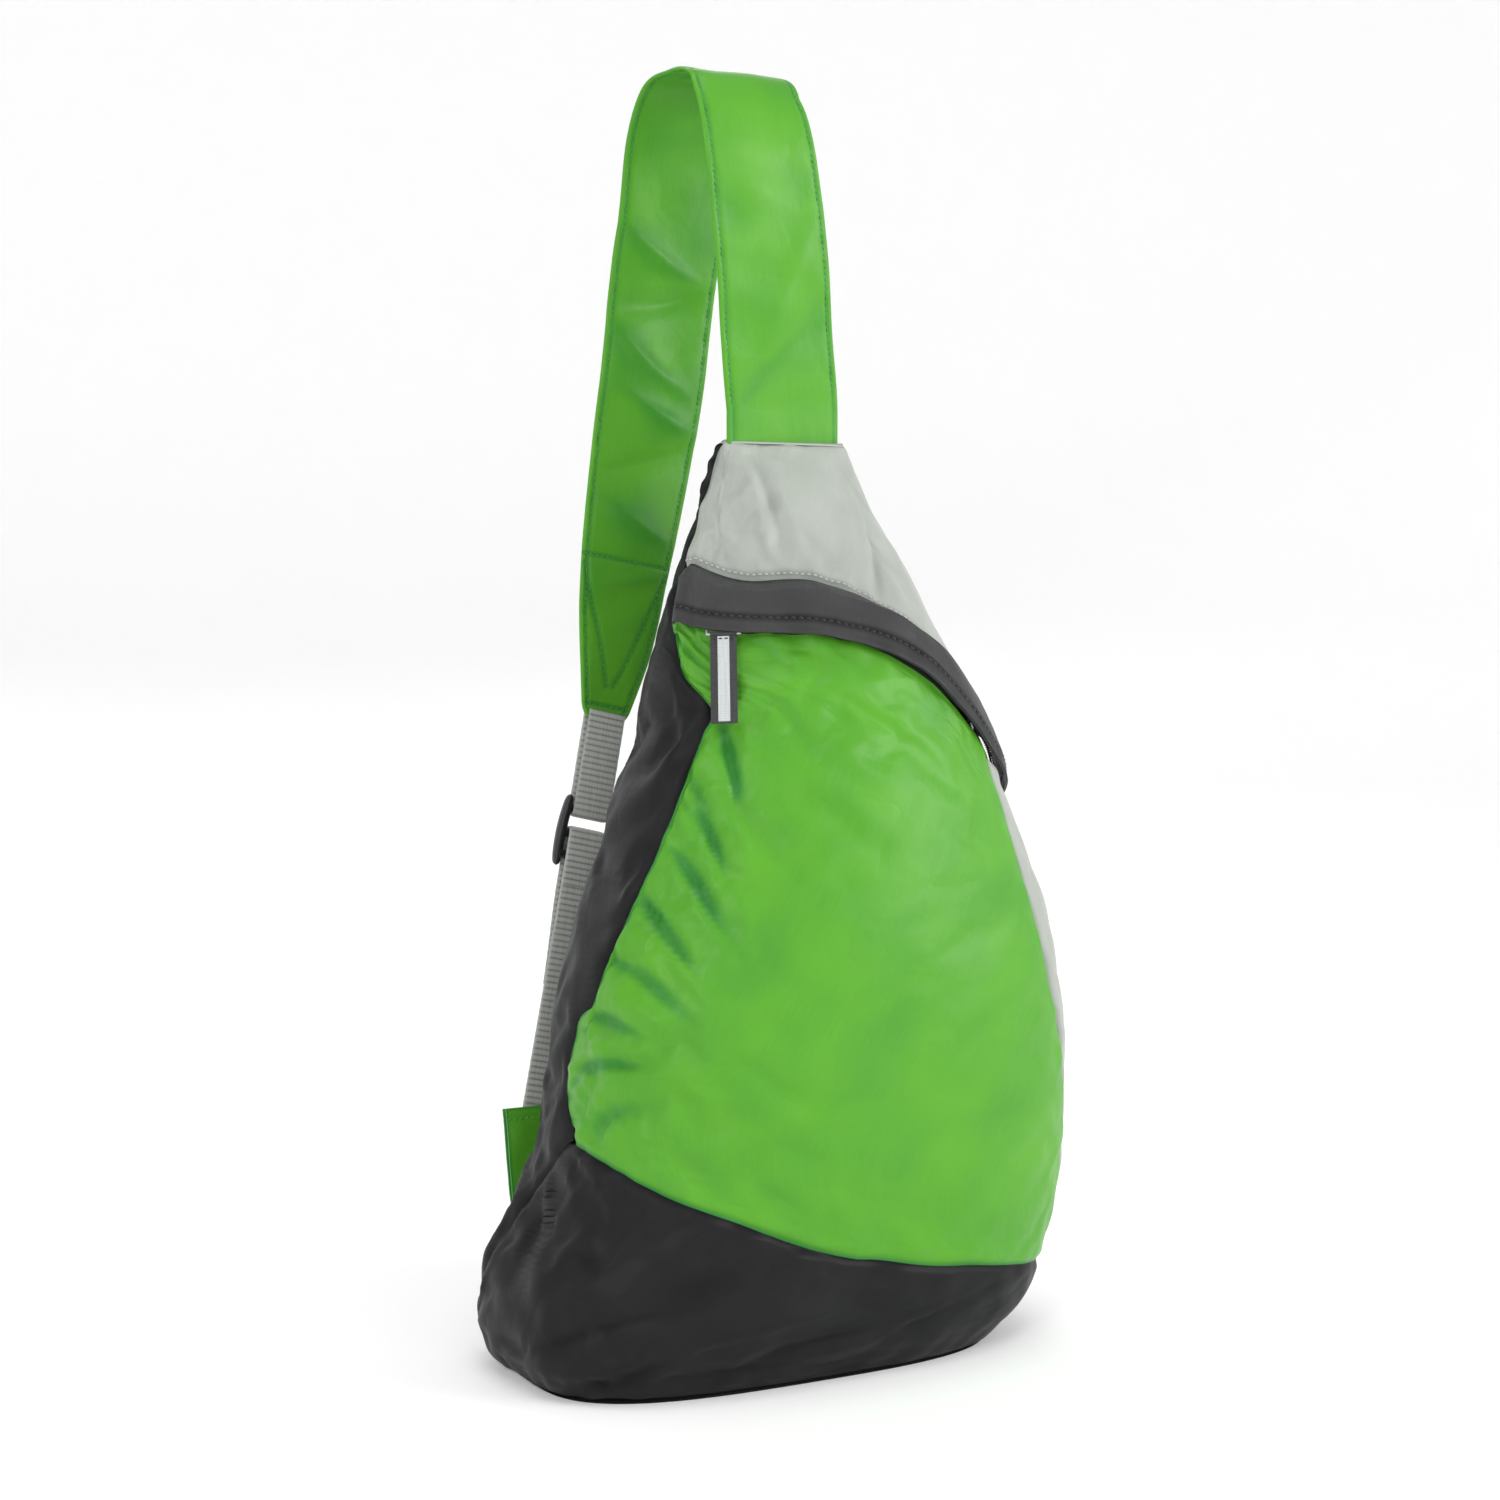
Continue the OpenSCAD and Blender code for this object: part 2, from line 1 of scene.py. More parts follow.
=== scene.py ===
# %% [markdown]
# # A mono-strap sling bag
# The bag stands on its base. Its body is one lofted shell cut into sewn panels; a wide strap
# leaves its top seam, turns over in a loop and comes down behind it to a webbing adjuster.
# The CAD model sets every size and every joint. This script builds the cloth, the webbing and
# the stitches on the same surface, as arrays, and gives them their finishes.

# %% Frame
import numpy as np
import bpy
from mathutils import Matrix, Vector


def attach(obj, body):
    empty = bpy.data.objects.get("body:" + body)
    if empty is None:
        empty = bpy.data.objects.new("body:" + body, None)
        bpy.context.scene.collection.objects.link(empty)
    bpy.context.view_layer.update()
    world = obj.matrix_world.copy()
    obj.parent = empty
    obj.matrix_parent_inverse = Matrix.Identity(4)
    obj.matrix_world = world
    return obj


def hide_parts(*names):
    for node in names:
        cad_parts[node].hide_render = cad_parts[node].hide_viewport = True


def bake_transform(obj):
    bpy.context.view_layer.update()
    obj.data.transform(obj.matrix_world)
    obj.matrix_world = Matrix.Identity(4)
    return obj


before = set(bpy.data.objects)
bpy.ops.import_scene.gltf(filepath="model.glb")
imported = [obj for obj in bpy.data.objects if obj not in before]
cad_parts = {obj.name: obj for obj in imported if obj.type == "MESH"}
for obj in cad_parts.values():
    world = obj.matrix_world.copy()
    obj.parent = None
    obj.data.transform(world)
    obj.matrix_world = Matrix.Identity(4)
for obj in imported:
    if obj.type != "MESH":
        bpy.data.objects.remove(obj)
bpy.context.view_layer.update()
MM = 0.001

# %% [markdown]
# ## Camera
# The bag is seen from a little left of the front and almost level, with a moderate lens.

# %% Camera
AZIMUTH, ELEVATION, DISTANCE = np.radians(-28.5), np.radians(3.3), 1.177
AIM = np.array([-28.5, -48.6, 294.25]) * MM
back_dir = np.array([np.sin(AZIMUTH) * np.cos(ELEVATION), -np.cos(AZIMUTH) * np.cos(ELEVATION),
                     np.sin(ELEVATION)])
camera_data = bpy.data.cameras.new("camera")
camera_data.lens, camera_data.sensor_width = 61.78, 36.0
camera = bpy.data.objects.new("camera", camera_data)
camera.location = AIM + back_dir * DISTANCE
camera.rotation_euler = Vector(-back_dir).to_track_quat("-Z", "Y").to_euler()
bpy.context.scene.collection.objects.link(camera)
bpy.context.scene.camera = camera
print("camera at", np.round(AIM + back_dir * DISTANCE, 3))

# %% [markdown]
# ## Smooth curves
# A bag pattern is a set of outlines through a few measured heights. A smooth curve through
# knots gives the outline everywhere, without the wobble of a high polynomial.


# %% Curves
def mix(a, b, t):
    """a + (b - a) t: a straight blend."""
    return a + (b - a) * t


def curve(knots, x):
    """Cubic through the knots. Each knot's slope is the mean of its neighbours' rises, each
    weighted by the other's span."""
    k, v = np.array(knots, float).T
    rise = np.diff(v) / np.diff(k)
    span = np.diff(k)
    slope = np.r_[rise[0], (rise[1:] * span[:-1] + rise[:-1] * span[1:])
                  / (span[:-1] + span[1:]), rise[-1]]
    x = np.clip(np.asarray(x, float), k[0], k[-1])
    i = np.clip(np.searchsorted(k, x, side="right") - 1, 0, len(k) - 2)
    h = span[i]
    t = (x - k[i]) / h
    s = t * t * (3 - 2 * t)
    return (1 - s) * v[i] + s * v[i + 1] + h * t * (1 - t) * ((1 - t) * slope[i] - t * slope[i + 1])


def unit(v):
    """v divided by its own length, along the last axis."""
    return v / np.maximum(np.linalg.norm(v, axis=-1, keepdims=True), 1e-12)


def track(values, run, where):
    """Each column of values, which are given at the positions run, read off at where."""
    return np.stack([np.interp(where, run, column) for column in values.T], -1)


def waves(x, y, size, seed, count=9):
    """Soft noise from -1 to 1: a mean of sine waves of about the given size, each with its own
    seeded direction, length and phase."""
    r = np.random.default_rng(seed)
    turn, phase = r.uniform(0, np.pi, count), r.uniform(0, 2 * np.pi, count)
    length = size * r.uniform(0.7, 1.5, count)
    total = 0
    for a, p, w in zip(turn, phase, length):
        total = total + np.sin(2 * np.pi * (x * np.cos(a) + y * np.sin(a)) / w + p)
    return total / np.sqrt(count) / 1.6


# %% [markdown]
# ## The body surface
# A place on the bag is (u, z): the angle round it in degrees, 0 at the front, and the height in
# millimetres. Each level section is a superellipse, squarer at the back than at the front.

# %% Body outlines
BAG_H, BAG_W, BAG_D = 440.0, 263.0, 140.0
LEFT_SIDE = [[0, -44.9], [2.7, -47.2], [9, -46], [18, -40.3], [28, -37.3], [41, -33.8],
             [57, -25], [75, -14.8], [89, -7.6], [100, -2.3]]
RIGHT_SIDE = [[0, 44.9], [2.7, 50.2], [11, 58.2], [20, 61.6], [28, 62.7], [41, 61.2],
              [57, 54.8], [75, 43.3], [89, 31.9], [97, 25.1], [100, 23.6]]
FRONT_SIDE = [[0, -44], [2.7, -48.6], [14, -53], [27, -55], [46, -50], [68, -33],
              [86, -10], [97, 6], [100, 11.4]]
BACK_SIDE = [[0, 41], [2.7, 44.5], [14, 45], [46, 44], [68, 40], [86, 32], [97, 24],
             [100, 18.6]]
FRONT_SQUARE = [[0, 3], [14, 2.6], [46, 2.4], [68, 2.15], [100, 2.2]]
BACK_SQUARE = 4.5


def bare(u, z):
    """The superellipse of that height: centre plus half size times the signed power of the
    sine and cosine of u."""
    h = z / BAG_H * 100
    left, right = curve(LEFT_SIDE, h) * BAG_W / 100, curve(RIGHT_SIDE, h) * BAG_W / 100
    front, rear = curve(FRONT_SIDE, h) * BAG_D / 100, curve(BACK_SIDE, h) * BAG_D / 100
    a = np.radians(u)
    power = 2 / np.where(np.cos(a) >= 0, curve(FRONT_SQUARE, h), BACK_SQUARE)
    x = np.sign(np.sin(a)) * np.abs(np.sin(a)) ** power
    y = np.sign(np.cos(a)) * np.abs(np.cos(a)) ** power
    return np.stack(np.broadcast_arrays((left + right) / 2 + (right - left) / 2 * x,
                                        (front + rear) / 2 - (rear - front) / 2 * y, z), -1)


# %% [markdown]
# ## The seams
# A zip only runs freely along an even curve, so the zip lies on a true circle, and the cloth is
# drawn to that circle beside it. The seams of the panels are curves in (u, z).

# %% Seams and the zip's circle
LEFT_SEAM = [[0, -118], [9, -112], [25.5, -90], [33, -92], [41, -89], [48.5, -82],
             [54.5, -75], [62, -67], [68.5, -61], [71, -58.5], [72.4, -65], [74, -77],
             [76, -86.5], [78.5, -91], [81, -92], [100, -92]]
RIGHT_SEAM = [[0, 67], [20, 65], [33, 57], [42, 50], [50, 48], [65, 48], [70, 48]]
BOOT_TOP = [[-118, 25.5], [-90, 25.5], [-66, 23.6], [-48, 21.2], [-27, 18.2], [-8, 14.6],
            [8, 11.6], [22, 10.5], [45, 9], [62, 8.3], [150, 8.3]]
FLAP_LOW = [[-95, 78.4], [-60, 79.1], [-35, 78.9], [-13, 78.2], [0, 77], [13, 75.3],
            [24, 73.1], [34, 70], [44, 66.4], [60, 62.7], [80, 59.6], [150, 58]]
FLAP_TOP = [[-95, 85], [-76, 85.5], [-36, 85], [-22, 84.9], [-10, 84.4], [0, 83.3],
            [9, 82.2], [24, 79.7], [35, 78.1], [46, 75.2], [60, 71.4], [80, 67]]
BACK_SEAM, FLAP_END, ZIP_HIDE, DRAW_REACH, PANEL_HIDE = 142.0, 78.0, 13.0, 45.0, 2.0
BASE_T = 2.4

left_u = lambda z: curve(LEFT_SEAM, z / BAG_H * 100)
right_u = lambda z: curve(RIGHT_SEAM, z / BAG_H * 100)
boot_z = lambda u: curve(BOOT_TOP, u) * BAG_H / 100
flap_low_z = lambda u: curve(FLAP_LOW, u) * BAG_H / 100
flap_top_z = lambda u: curve(FLAP_TOP, np.minimum(u, FLAP_END)) * BAG_H / 100
panel_top_z = lambda u: flap_low_z(u) + PANEL_HIDE


def upper_low_z(u):
    """The flap's seam up to the flap's end, then down to the side panel's top within 10 degrees."""
    over = np.clip((np.asarray(u, float) - FLAP_END) / 10, 0, 1)
    return np.where(over > 0, mix(flap_top_z(FLAP_END), panel_top_z(u), over), flap_top_z(u))


anchors = [bare(u, flap_low_z(u) + ZIP_HIDE) for u in (-70.0, -14.0, 56.0)]
ZIP_N = unit(np.cross(anchors[1] - anchors[0], anchors[2] - anchors[0]))
p, q = anchors[1] - anchors[0], anchors[2] - anchors[0]
ZIP_C = anchors[0] + (np.cross(np.cross(p, q), p) * (q @ q) + np.cross(q, np.cross(p, q))
                      * (p @ p)) / (2 * np.cross(p, q) @ np.cross(p, q))
ZIP_R = np.linalg.norm(anchors[0] - ZIP_C)
zip_us = np.arange(-100.0, 101.0, 5.0)
lo, hi = np.full(zip_us.shape, 0.45 * BAG_H), np.full(zip_us.shape, 0.98 * BAG_H)
for _ in range(20):
    middle = (lo + hi) / 2
    above = (bare(zip_us, middle) - ZIP_C) @ ZIP_N > 0
    lo, hi = np.where(above, lo, middle), np.where(above, middle, hi)
zip_zs = (lo + hi) / 2
spoke = bare(zip_us, zip_zs) - ZIP_C
zip_pulls = unit(spoke) * (ZIP_R - np.linalg.norm(spoke, axis=-1, keepdims=True))
zip_z = lambda u: np.interp(u, zip_us, zip_zs)


def body(u, z):
    """The bare surface, drawn to the zip's circle by a bell of width DRAW_REACH about the
    zip's height."""
    u, z = np.broadcast_arrays(np.asarray(u, float), np.asarray(z, float))
    pull = track(zip_pulls, zip_us, u)
    fade = (np.exp(-((z - zip_z(u)) / DRAW_REACH) ** 2) * np.clip((100 - np.abs(u)) / 15, 0, 1))
    return bare(u, z) + pull * fade[..., None]


def normal(u, z):
    """Outward normal: the cross product of the steps in u and in z."""
    return unit(np.cross(body(u + 1, z) - body(u - 1, z), body(u, z + 1) - body(u, z - 1)))


print("zip radius", round(float(ZIP_R), 2), "mm; normal", np.round(ZIP_N, 3))

# %% [markdown]
# ## How the cloth settles
# Sewn cloth is always a little longer than its seams, so it swells between them and wrinkles
# beside them. A cloth simulation of the whole shell finds those wrinkles: the seams are pinned,
# the cloth is cut larger than its place by SLACK, 16 parts in a thousand, and air inside
# presses it out. Only the wrinkles are kept; the broad swelling is taken away again, so the bag
# keeps its measured outline.

# %% Cloth simulation of the shell
SIM_U, SIM_Z, SIM_FRAMES, SLACK, PRESSURE, CAP = 168, 124, 26, 0.016, 2.2, 6.5
sim_us = np.arange(SIM_U) * 360 / SIM_U - 180
sim_zs = np.linspace(BASE_T, BAG_H, SIM_Z)


def smooth_grid(values, sigma_u, sigma_z):
    """A Gaussian mean over a grid that wraps round in u and is mirrored in z."""
    def kernel(sigma):
        reach = np.arange(-int(3 * sigma), int(3 * sigma) + 1)
        k = np.exp(-(reach / sigma) ** 2 / 2)
        return reach, k / k.sum()
    out = 0
    for step, weight in zip(*kernel(sigma_u)):
        out = out + weight * np.roll(values, step, axis=1)
    padded = np.concatenate([out[::-1], out, out[::-1]])
    total = 0
    for step, weight in zip(*kernel(sigma_z)):
        total = total + weight * padded[len(out) + step:2 * len(out) + step]
    return total


def pinned():
    """Which grid points are held: the lowest and highest rows and the ones nearest each seam."""
    du, dz = 360 / SIM_U * 0.6, (BAG_H - BASE_T) / SIM_Z * 0.6
    u, z = np.meshgrid(sim_us, sim_zs)
    front = (u > left_u(z)) & (u < BACK_SEAM)
    held = (np.abs(u - left_u(z)) < du) | (np.abs(np.abs(u) - BACK_SEAM) < du)
    held |= (np.abs(u - right_u(z)) < du) & (z > boot_z(u)) & (z < flap_low_z(u))
    held |= (np.abs(z - boot_z(u)) < dz) & front
    held |= (np.abs(z - flap_top_z(u)) < dz) & front & (u < FLAP_END)
    held |= (np.abs(z - zip_z(u)) < 1.6 * dz) & front & (u < FLAP_END)
    held[0], held[-1] = True, True
    return held


def tube_quads(rings, around):
    """Quads between neighbouring rings of points, each ring closed on itself."""
    n = np.arange(rings * around).reshape(rings, around)
    w = np.roll(n, -1, axis=1)
    return np.stack([n[:-1], w[:-1], w[1:], n[1:]], -1).reshape(-1, 4)


def settle():
    """Runs the cloth and returns its displacement from the surface at every grid point."""
    u, z = np.meshgrid(sim_us, sim_zs)
    rest = body(u, z) + (0.5 * waves(u * 1.4, z, 18, 7))[..., None] * normal(u, z)
    n = np.arange(u.size).reshape(u.shape)
    mesh = bpy.data.meshes.new("settling")
    mesh.from_pydata((rest.reshape(-1, 3) * MM).tolist(), [], tube_quads(*u.shape).tolist())
    shell = bpy.data.objects.new("settling", mesh)
    bpy.context.scene.collection.objects.link(shell)
    shell.vertex_groups.new(name="held").add(n[pinned()].tolist(), 1.0, "REPLACE")
    cloth = shell.modifiers.new("cloth", "CLOTH")
    c = cloth.settings
    c.quality, c.mass, c.air_damping = 6, 0.15, 1.0
    c.tension_stiffness = c.compression_stiffness = 20
    c.shear_stiffness, c.bending_stiffness = 8, 0.15
    c.vertex_group_mass, c.shrink_min = "held", -SLACK
    c.use_pressure, c.uniform_pressure_force = True, PRESSURE
    c.effector_weights.gravity = 0
    cloth.collision_settings.use_collision = False
    cloth.point_cache.frame_end = SIM_FRAMES
    for f in range(1, SIM_FRAMES + 1):
        bpy.context.scene.frame_set(f)
    settled = shell.evaluated_get(bpy.context.evaluated_depsgraph_get()).data
    co = np.zeros(u.size * 3)
    settled.vertices.foreach_get("co", co)
    bpy.data.objects.remove(shell)
    bpy.data.meshes.remove(mesh)
    bpy.context.scene.frame_set(1)
    move = co.reshape(*u.shape, 3) / MM - body(u, z)
    print("settled: broad swelling up to", round(float(np.abs(move).max()), 1), "mm")
    move = move - smooth_grid(move, 9, 9)
    size = np.linalg.norm(move, axis=-1, keepdims=True)
    return move * np.minimum(1, CAP / np.maximum(size, 1e-6))


wrinkle = settle()
print("wrinkles up to", round(float(np.linalg.norm(wrinkle, axis=-1).max()), 2), "mm")


# %% Wrinkles and the slumped corner
def wrinkles(u, z):
    """The simulated displacement at any place, blended between the four nearest grid points. It
    is full on the left of the front, where the bag is slack, and calm on the tight right side."""
    wide = np.clip((np.asarray(u, float) + 30) / 60, 0, 1) * (np.asarray(u, float) < 180)
    slack = 1.15 - 0.75 * wide * wide * (3 - 2 * wide)
    a = (np.asarray(u, float) + 180) % 360 / 360 * SIM_U
    b = np.clip((np.asarray(z, float) - BASE_T) / (BAG_H - BASE_T) * (SIM_Z - 1), 0, SIM_Z - 1.001)
    a, b = np.broadcast_arrays(a, b)
    i, j = np.floor(a).astype(int), np.floor(b).astype(int)
    fa, fb = (a - i)[..., None], (b - j)[..., None]
    i, k = i % SIM_U, (i + 1) % SIM_U
    found = ((1 - fb) * ((1 - fa) * wrinkle[j, i] + fa * wrinkle[j, k])
             + fb * ((1 - fa) * wrinkle[j + 1, i] + fa * wrinkle[j + 1, k]))
    return found * np.broadcast_to(slack, a.shape)[..., None]


SLUMP, SLUMP_U, SLUMP_Z, SLUMP_WIDE, SLUMP_HIGH = 10.0, -124.0, 50.0, 34.0, 46.0


def slump(u, z):
    """How far the lower left corner slumps outwards: a bell in u and in z."""
    turn = (np.asarray(u, float) + 180) % 360 - 180
    return SLUMP * np.exp(-((turn - SLUMP_U) / SLUMP_WIDE) ** 2
                          - ((z - SLUMP_Z) / SLUMP_HIGH) ** 2)


# %% [markdown]
# ## Meshes from grids
# Every soft piece is two grids of points, its outer and inner face, joined round their rims, or a
# ring of points carried along a path. Both are built as whole arrays. A piece keeps its flat
# pattern as its UV map, in metres, so a weave follows the cloth.


# %% Mesh builders
def add_piece(name, points, faces, uv, material, body_name, slot, crisp=50.0, **attributes):
    """A mesh object from points in millimetres, with one UV pair and any named value a point."""
    mesh = bpy.data.meshes.new(name)
    mesh.from_pydata((points * MM).tolist(), [], faces.tolist())
    loops = np.zeros(len(mesh.loops), np.int32)
    mesh.loops.foreach_get("vertex_index", loops)
    mesh.uv_layers.new(name="cloth").data.foreach_set("uv", (uv[loops] * MM).ravel())
    for key, values in attributes.items():
        mesh.attributes.new(key, "FLOAT", "POINT").data.foreach_set(
            "value", np.ascontiguousarray(values, np.float32))
    mesh.polygons.foreach_set("use_smooth", np.ones(len(mesh.polygons), bool))
    mesh.set_sharp_from_angle(angle=np.radians(crisp))
    mesh.materials.append(material)
    piece = bpy.data.objects.new(name, mesh)
    bpy.context.scene.collection.objects.link(piece)
    if body_name:
        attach(piece, body_name)
    return piece


def slab_faces(rows, cols):
    """Quads of a closed slab of two grids: outer face, inner face turned over, and four rims."""
    n = np.arange(rows * cols).reshape(rows, cols)
    m = n + rows * cols
    quad = lambda a, b, c, d: np.stack([a, b, c, d], -1).reshape(-1, 4)
    return np.vstack([
        quad(n[:-1, :-1], n[:-1, 1:], n[1:, 1:], n[1:, :-1]),
        quad(m[:-1, :-1], m[1:, :-1], m[1:, 1:], m[:-1, 1:]),
        quad(n[0, 1:], n[0, :-1], m[0, :-1], m[0, 1:]),
        quad(n[-1, :-1], n[-1, 1:], m[-1, 1:], m[-1, :-1]),
        quad(n[:-1, 0], n[1:, 0], m[1:, 0], m[:-1, 0]),
        quad(n[1:, -1], n[:-1, -1], m[:-1, -1], m[1:, -1])])


def ring_faces(rings, around):
    """Quads of a closed tube of rings of points, with a fan of quads over each end."""
    k = np.arange(around // 2 - 1)
    fan = np.stack([k, k + 1, around - 2 - k, around - 1 - k], -1)
    return np.vstack([tube_quads(rings, around), fan[:, ::-1], fan + (rings - 1) * around])


def lengths(points, axis):
    """Running length of each grid line along an axis, from 0."""
    step = np.linalg.norm(np.diff(points, axis=axis), axis=-1)
    return np.insert(np.cumsum(step, axis=axis), 0, 0, axis=axis)


def both_faces(v):
    """Places across a strip, out along one face and back along the other, and 1 or -1 for the
    face that each is on."""
    return np.r_[v, v[-2:0:-1]], np.r_[np.ones(len(v)), -np.ones(len(v) - 2)]


def closer(n, share=0.72):
    """n + 1 numbers from 0 to 1, closer together near both ends."""
    x = np.linspace(0, 1, n + 1)
    return x - share * np.sin(2 * np.pi * x) / (2 * np.pi)


# %% [markdown]
# ## Finishes
# The shell is thin woven polyester with a satin face. Its sheen changes along the threads, and
# small crumples break its highlights. One group makes the weave and one makes the crumples; each
# cloth sets its own pitch, colour and strength. Groups only give masks and heights.


# %% Node helpers
def node_group(name, inputs, outputs):
    """An empty shader group with named float inputs (with defaults) and outputs."""
    g = bpy.data.node_groups.new(name, "ShaderNodeTree")
    for key, kind, value in inputs:
        socket = g.interface.new_socket(key, in_out="INPUT", socket_type=kind)
        if value is not None:
            socket.default_value = value
    for key, kind in outputs:
        g.interface.new_socket(key, in_out="OUTPUT", socket_type=kind)
    return g, g.nodes.new("NodeGroupInput"), g.nodes.new("NodeGroupOutput")


def put(tree, kind, values=(), links=(), **settings):
    """A node with its settings, its socket values and its incoming links."""
    n = tree.nodes.new(kind)
    for key, value in settings.items():
        setattr(n, key, value)
    for key, value in dict(values).items():
        n.inputs[key].default_value = value
    for key, source in dict(links).items():
        tree.links.new(source, n.inputs[key])
    return n


def calc(tree, operation, a, b=0.0, c=0.0):
    """A Math node's output; each operand is a number or a socket."""
    n = tree.nodes.new("ShaderNodeMath")
    n.operation = operation
    for i, v in enumerate((a, b, c)):
        if isinstance(v, (int, float)):
            n.inputs[i].default_value = v
        else:
            tree.links.new(v, n.inputs[i])
    return n.outputs[0]


# %% Weave group
def make_weave():
    """Plain weave: the height is the sine of the warp times the sine of the weft, and the mask
    is thread-long noise along the warp that stands for uneven sheen."""
    g, gin, gout = node_group("woven_threads", [("Cloth", "NodeSocketVector", None),
                                                ("Pitch", "NodeSocketFloat", 0.0005)],
                              [("Height", "NodeSocketFloat"), ("Streak", "NodeSocketFloat")])
    split = put(g, "ShaderNodeSeparateXYZ", links={0: gin.outputs["Cloth"]})
    turns = calc(g, "DIVIDE", 2 * np.pi, gin.outputs["Pitch"])
    warp = calc(g, "SINE", calc(g, "MULTIPLY", split.outputs[0], turns))
    weft = calc(g, "SINE", calc(g, "MULTIPLY", split.outputs[1], turns))
    g.links.new(calc(g, "MULTIPLY", warp, weft), gout.inputs["Height"])
    long = put(g, "ShaderNodeMapping", values={"Scale": (1.0, 0.06, 1.0)},
               links={"Vector": gin.outputs["Cloth"]})
    noise = put(g, "ShaderNodeTexNoise", values={"Scale": 900.0, "Detail": 3.0},
                links={"Vector": long.outputs[0]})
    g.links.new(noise.outputs[0], gout.inputs["Streak"])
    return g


WEAVE = make_weave()


# %% Crumple group
def make_crumple():
    """Crumpled cloth: noise whose coordinates are pushed about by larger noise, folded at its
    middle value so that it makes creases with soft sides."""
    g, gin, gout = node_group("soft_crumples", [("Cloth", "NodeSocketVector", None),
                                                ("Size", "NodeSocketFloat", 0.03)],
                              [("Height", "NodeSocketFloat"), ("Shade", "NodeSocketFloat")])
    scale = calc(g, "DIVIDE", 1.0, gin.outputs["Size"])
    large = put(g, "ShaderNodeTexNoise", values={"Detail": 1.0},
                links={"Vector": gin.outputs["Cloth"], "Scale": scale})
    push = put(g, "ShaderNodeVectorMath", operation="SCALE", links={0: large.outputs[1]})
    g.links.new(calc(g, "MULTIPLY", gin.outputs["Size"], 0.8), push.inputs["Scale"])
    moved = put(g, "ShaderNodeVectorMath", operation="ADD",
                links={0: gin.outputs["Cloth"], 1: push.outputs[0]})
    fine = put(g, "ShaderNodeTexNoise", values={"Detail": 4.0, "Roughness": 0.45},
               links={"Vector": moved.outputs[0], "Scale": scale})
    fold = calc(g, "ABSOLUTE", calc(g, "SUBTRACT", fine.outputs[0], 0.5))
    g.links.new(calc(g, "MULTIPLY", fold, 2.0), gout.inputs["Height"])
    g.links.new(large.outputs[0], gout.inputs["Shade"])
    return g


CRUMPLE = make_crumple()


# %% Cloth material
def new_material(name):
    """A material with an empty tree, its Principled shader and its output."""
    m = bpy.data.materials.new(name)
    m.use_nodes = True
    t = m.node_tree
    return m, t, t.nodes["Principled BSDF"]


def tint_base(tree, shader, factor, dark, light):
    """The base colour: a mix from dark to light by a factor socket."""
    tint = put(tree, "ShaderNodeMix", data_type="RGBA", links={"Factor": factor})
    tint.inputs[6].default_value, tint.inputs[7].default_value = (*dark, 1), (*light, 1)
    tree.links.new(tint.outputs[2], shader.inputs["Base Color"])


def cloth_material(name, colour, deep, pitch=0.0006, crumple=0.45, size=0.035, rough=0.42,
                   sheen=0.06, specular=0.3, thread=0.05):
    """Woven cloth. The colour runs from deep near the seams, and as painted shade along the stitch
    rows and in the folds, to colour on the open cloth; the weave's streak shifts it as painted
    sheen, and the weave and the crumples go to one bump."""
    m, t, shader = new_material(name)
    uv = put(t, "ShaderNodeUVMap", uv_map="cloth").outputs[0]
    weave = put(t, "ShaderNodeGroup", node_tree=WEAVE, links={"Cloth": uv})
    weave.inputs["Pitch"].default_value = pitch
    rumple = put(t, "ShaderNodeGroup", node_tree=CRUMPLE, links={"Cloth": uv})
    rumple.inputs["Size"].default_value = size
    # Darker near the seams, and painted shade along the stitch rows and in the valleys of the
    # folds, all read from one attribute.
    seam = put(t, "ShaderNodeAttribute", attribute_name="seam").outputs["Fac"]
    near = calc(t, "MULTIPLY", calc(t, "SUBTRACT", 1.0, put(
        t, "ShaderNodeMapRange", values={"From Min": 0.0, "From Max": 2.5, "To Min": 0.0,
                                         "To Max": 1.0}, links={"Value": seam}).outputs[0]), 0.8)
    shade = calc(t, "MULTIPLY", calc(t, "SUBTRACT", rumple.outputs["Shade"], 0.5), 0.5)
    # Painted sheen: the weave's streak of uneven sheen shifts the base colour as well as the
    # roughness.
    sheen_streak = calc(t, "MULTIPLY", calc(t, "SUBTRACT", weave.outputs["Streak"], 0.5), 0.22)
    factor = put(t, "ShaderNodeClamp", links={"Value": calc(
        t, "SUBTRACT", 0.85, calc(t, "ADD", near, calc(t, "ADD", shade, sheen_streak)))}).outputs[0]
    tint_base(t, shader, factor, deep, colour)
    t.links.new(calc(t, "ADD", rough, calc(t, "MULTIPLY", sheen_streak, 0.6)),
                shader.inputs["Roughness"])
    creases = put(t, "ShaderNodeBump", values={"Strength": crumple, "Distance": 0.0012},
                  links={"Height": rumple.outputs["Height"]})
    threads = put(t, "ShaderNodeBump", values={"Strength": thread, "Distance": 0.0003},
                  links={"Height": weave.outputs["Height"], "Normal": creases.outputs[0]})
    t.links.new(threads.outputs[0], shader.inputs["Normal"])
    shader.inputs["Sheen Weight"].default_value = sheen
    shader.inputs["Sheen Roughness"].default_value = 0.45
    shader.inputs["Specular IOR Level"].default_value = specular
    return m


GREEN = cloth_material("green_satin", (0.106, 0.380, 0.022), (0.014, 0.19, 0.032),
                       sheen=0.02, specular=0.24, rough=0.38)
GREY = cloth_material("grey_satin", (0.40, 0.43, 0.385), (0.24, 0.26, 0.24), specular=0.4)
BLACK = cloth_material("black_satin", (0.017, 0.017, 0.018), (0.005, 0.005, 0.006),
                       crumple=0.6, size=0.05, rough=0.42, sheen=0.01, specular=0.11)
CHARCOAL = cloth_material("charcoal_satin", (0.058, 0.058, 0.060), (0.012, 0.012, 0.013),
                          crumple=0.6, size=0.02, rough=0.45, sheen=0.02, specular=0.12)
print("cloths", [m.name for m in (GREEN, GREY, BLACK, CHARCOAL)])


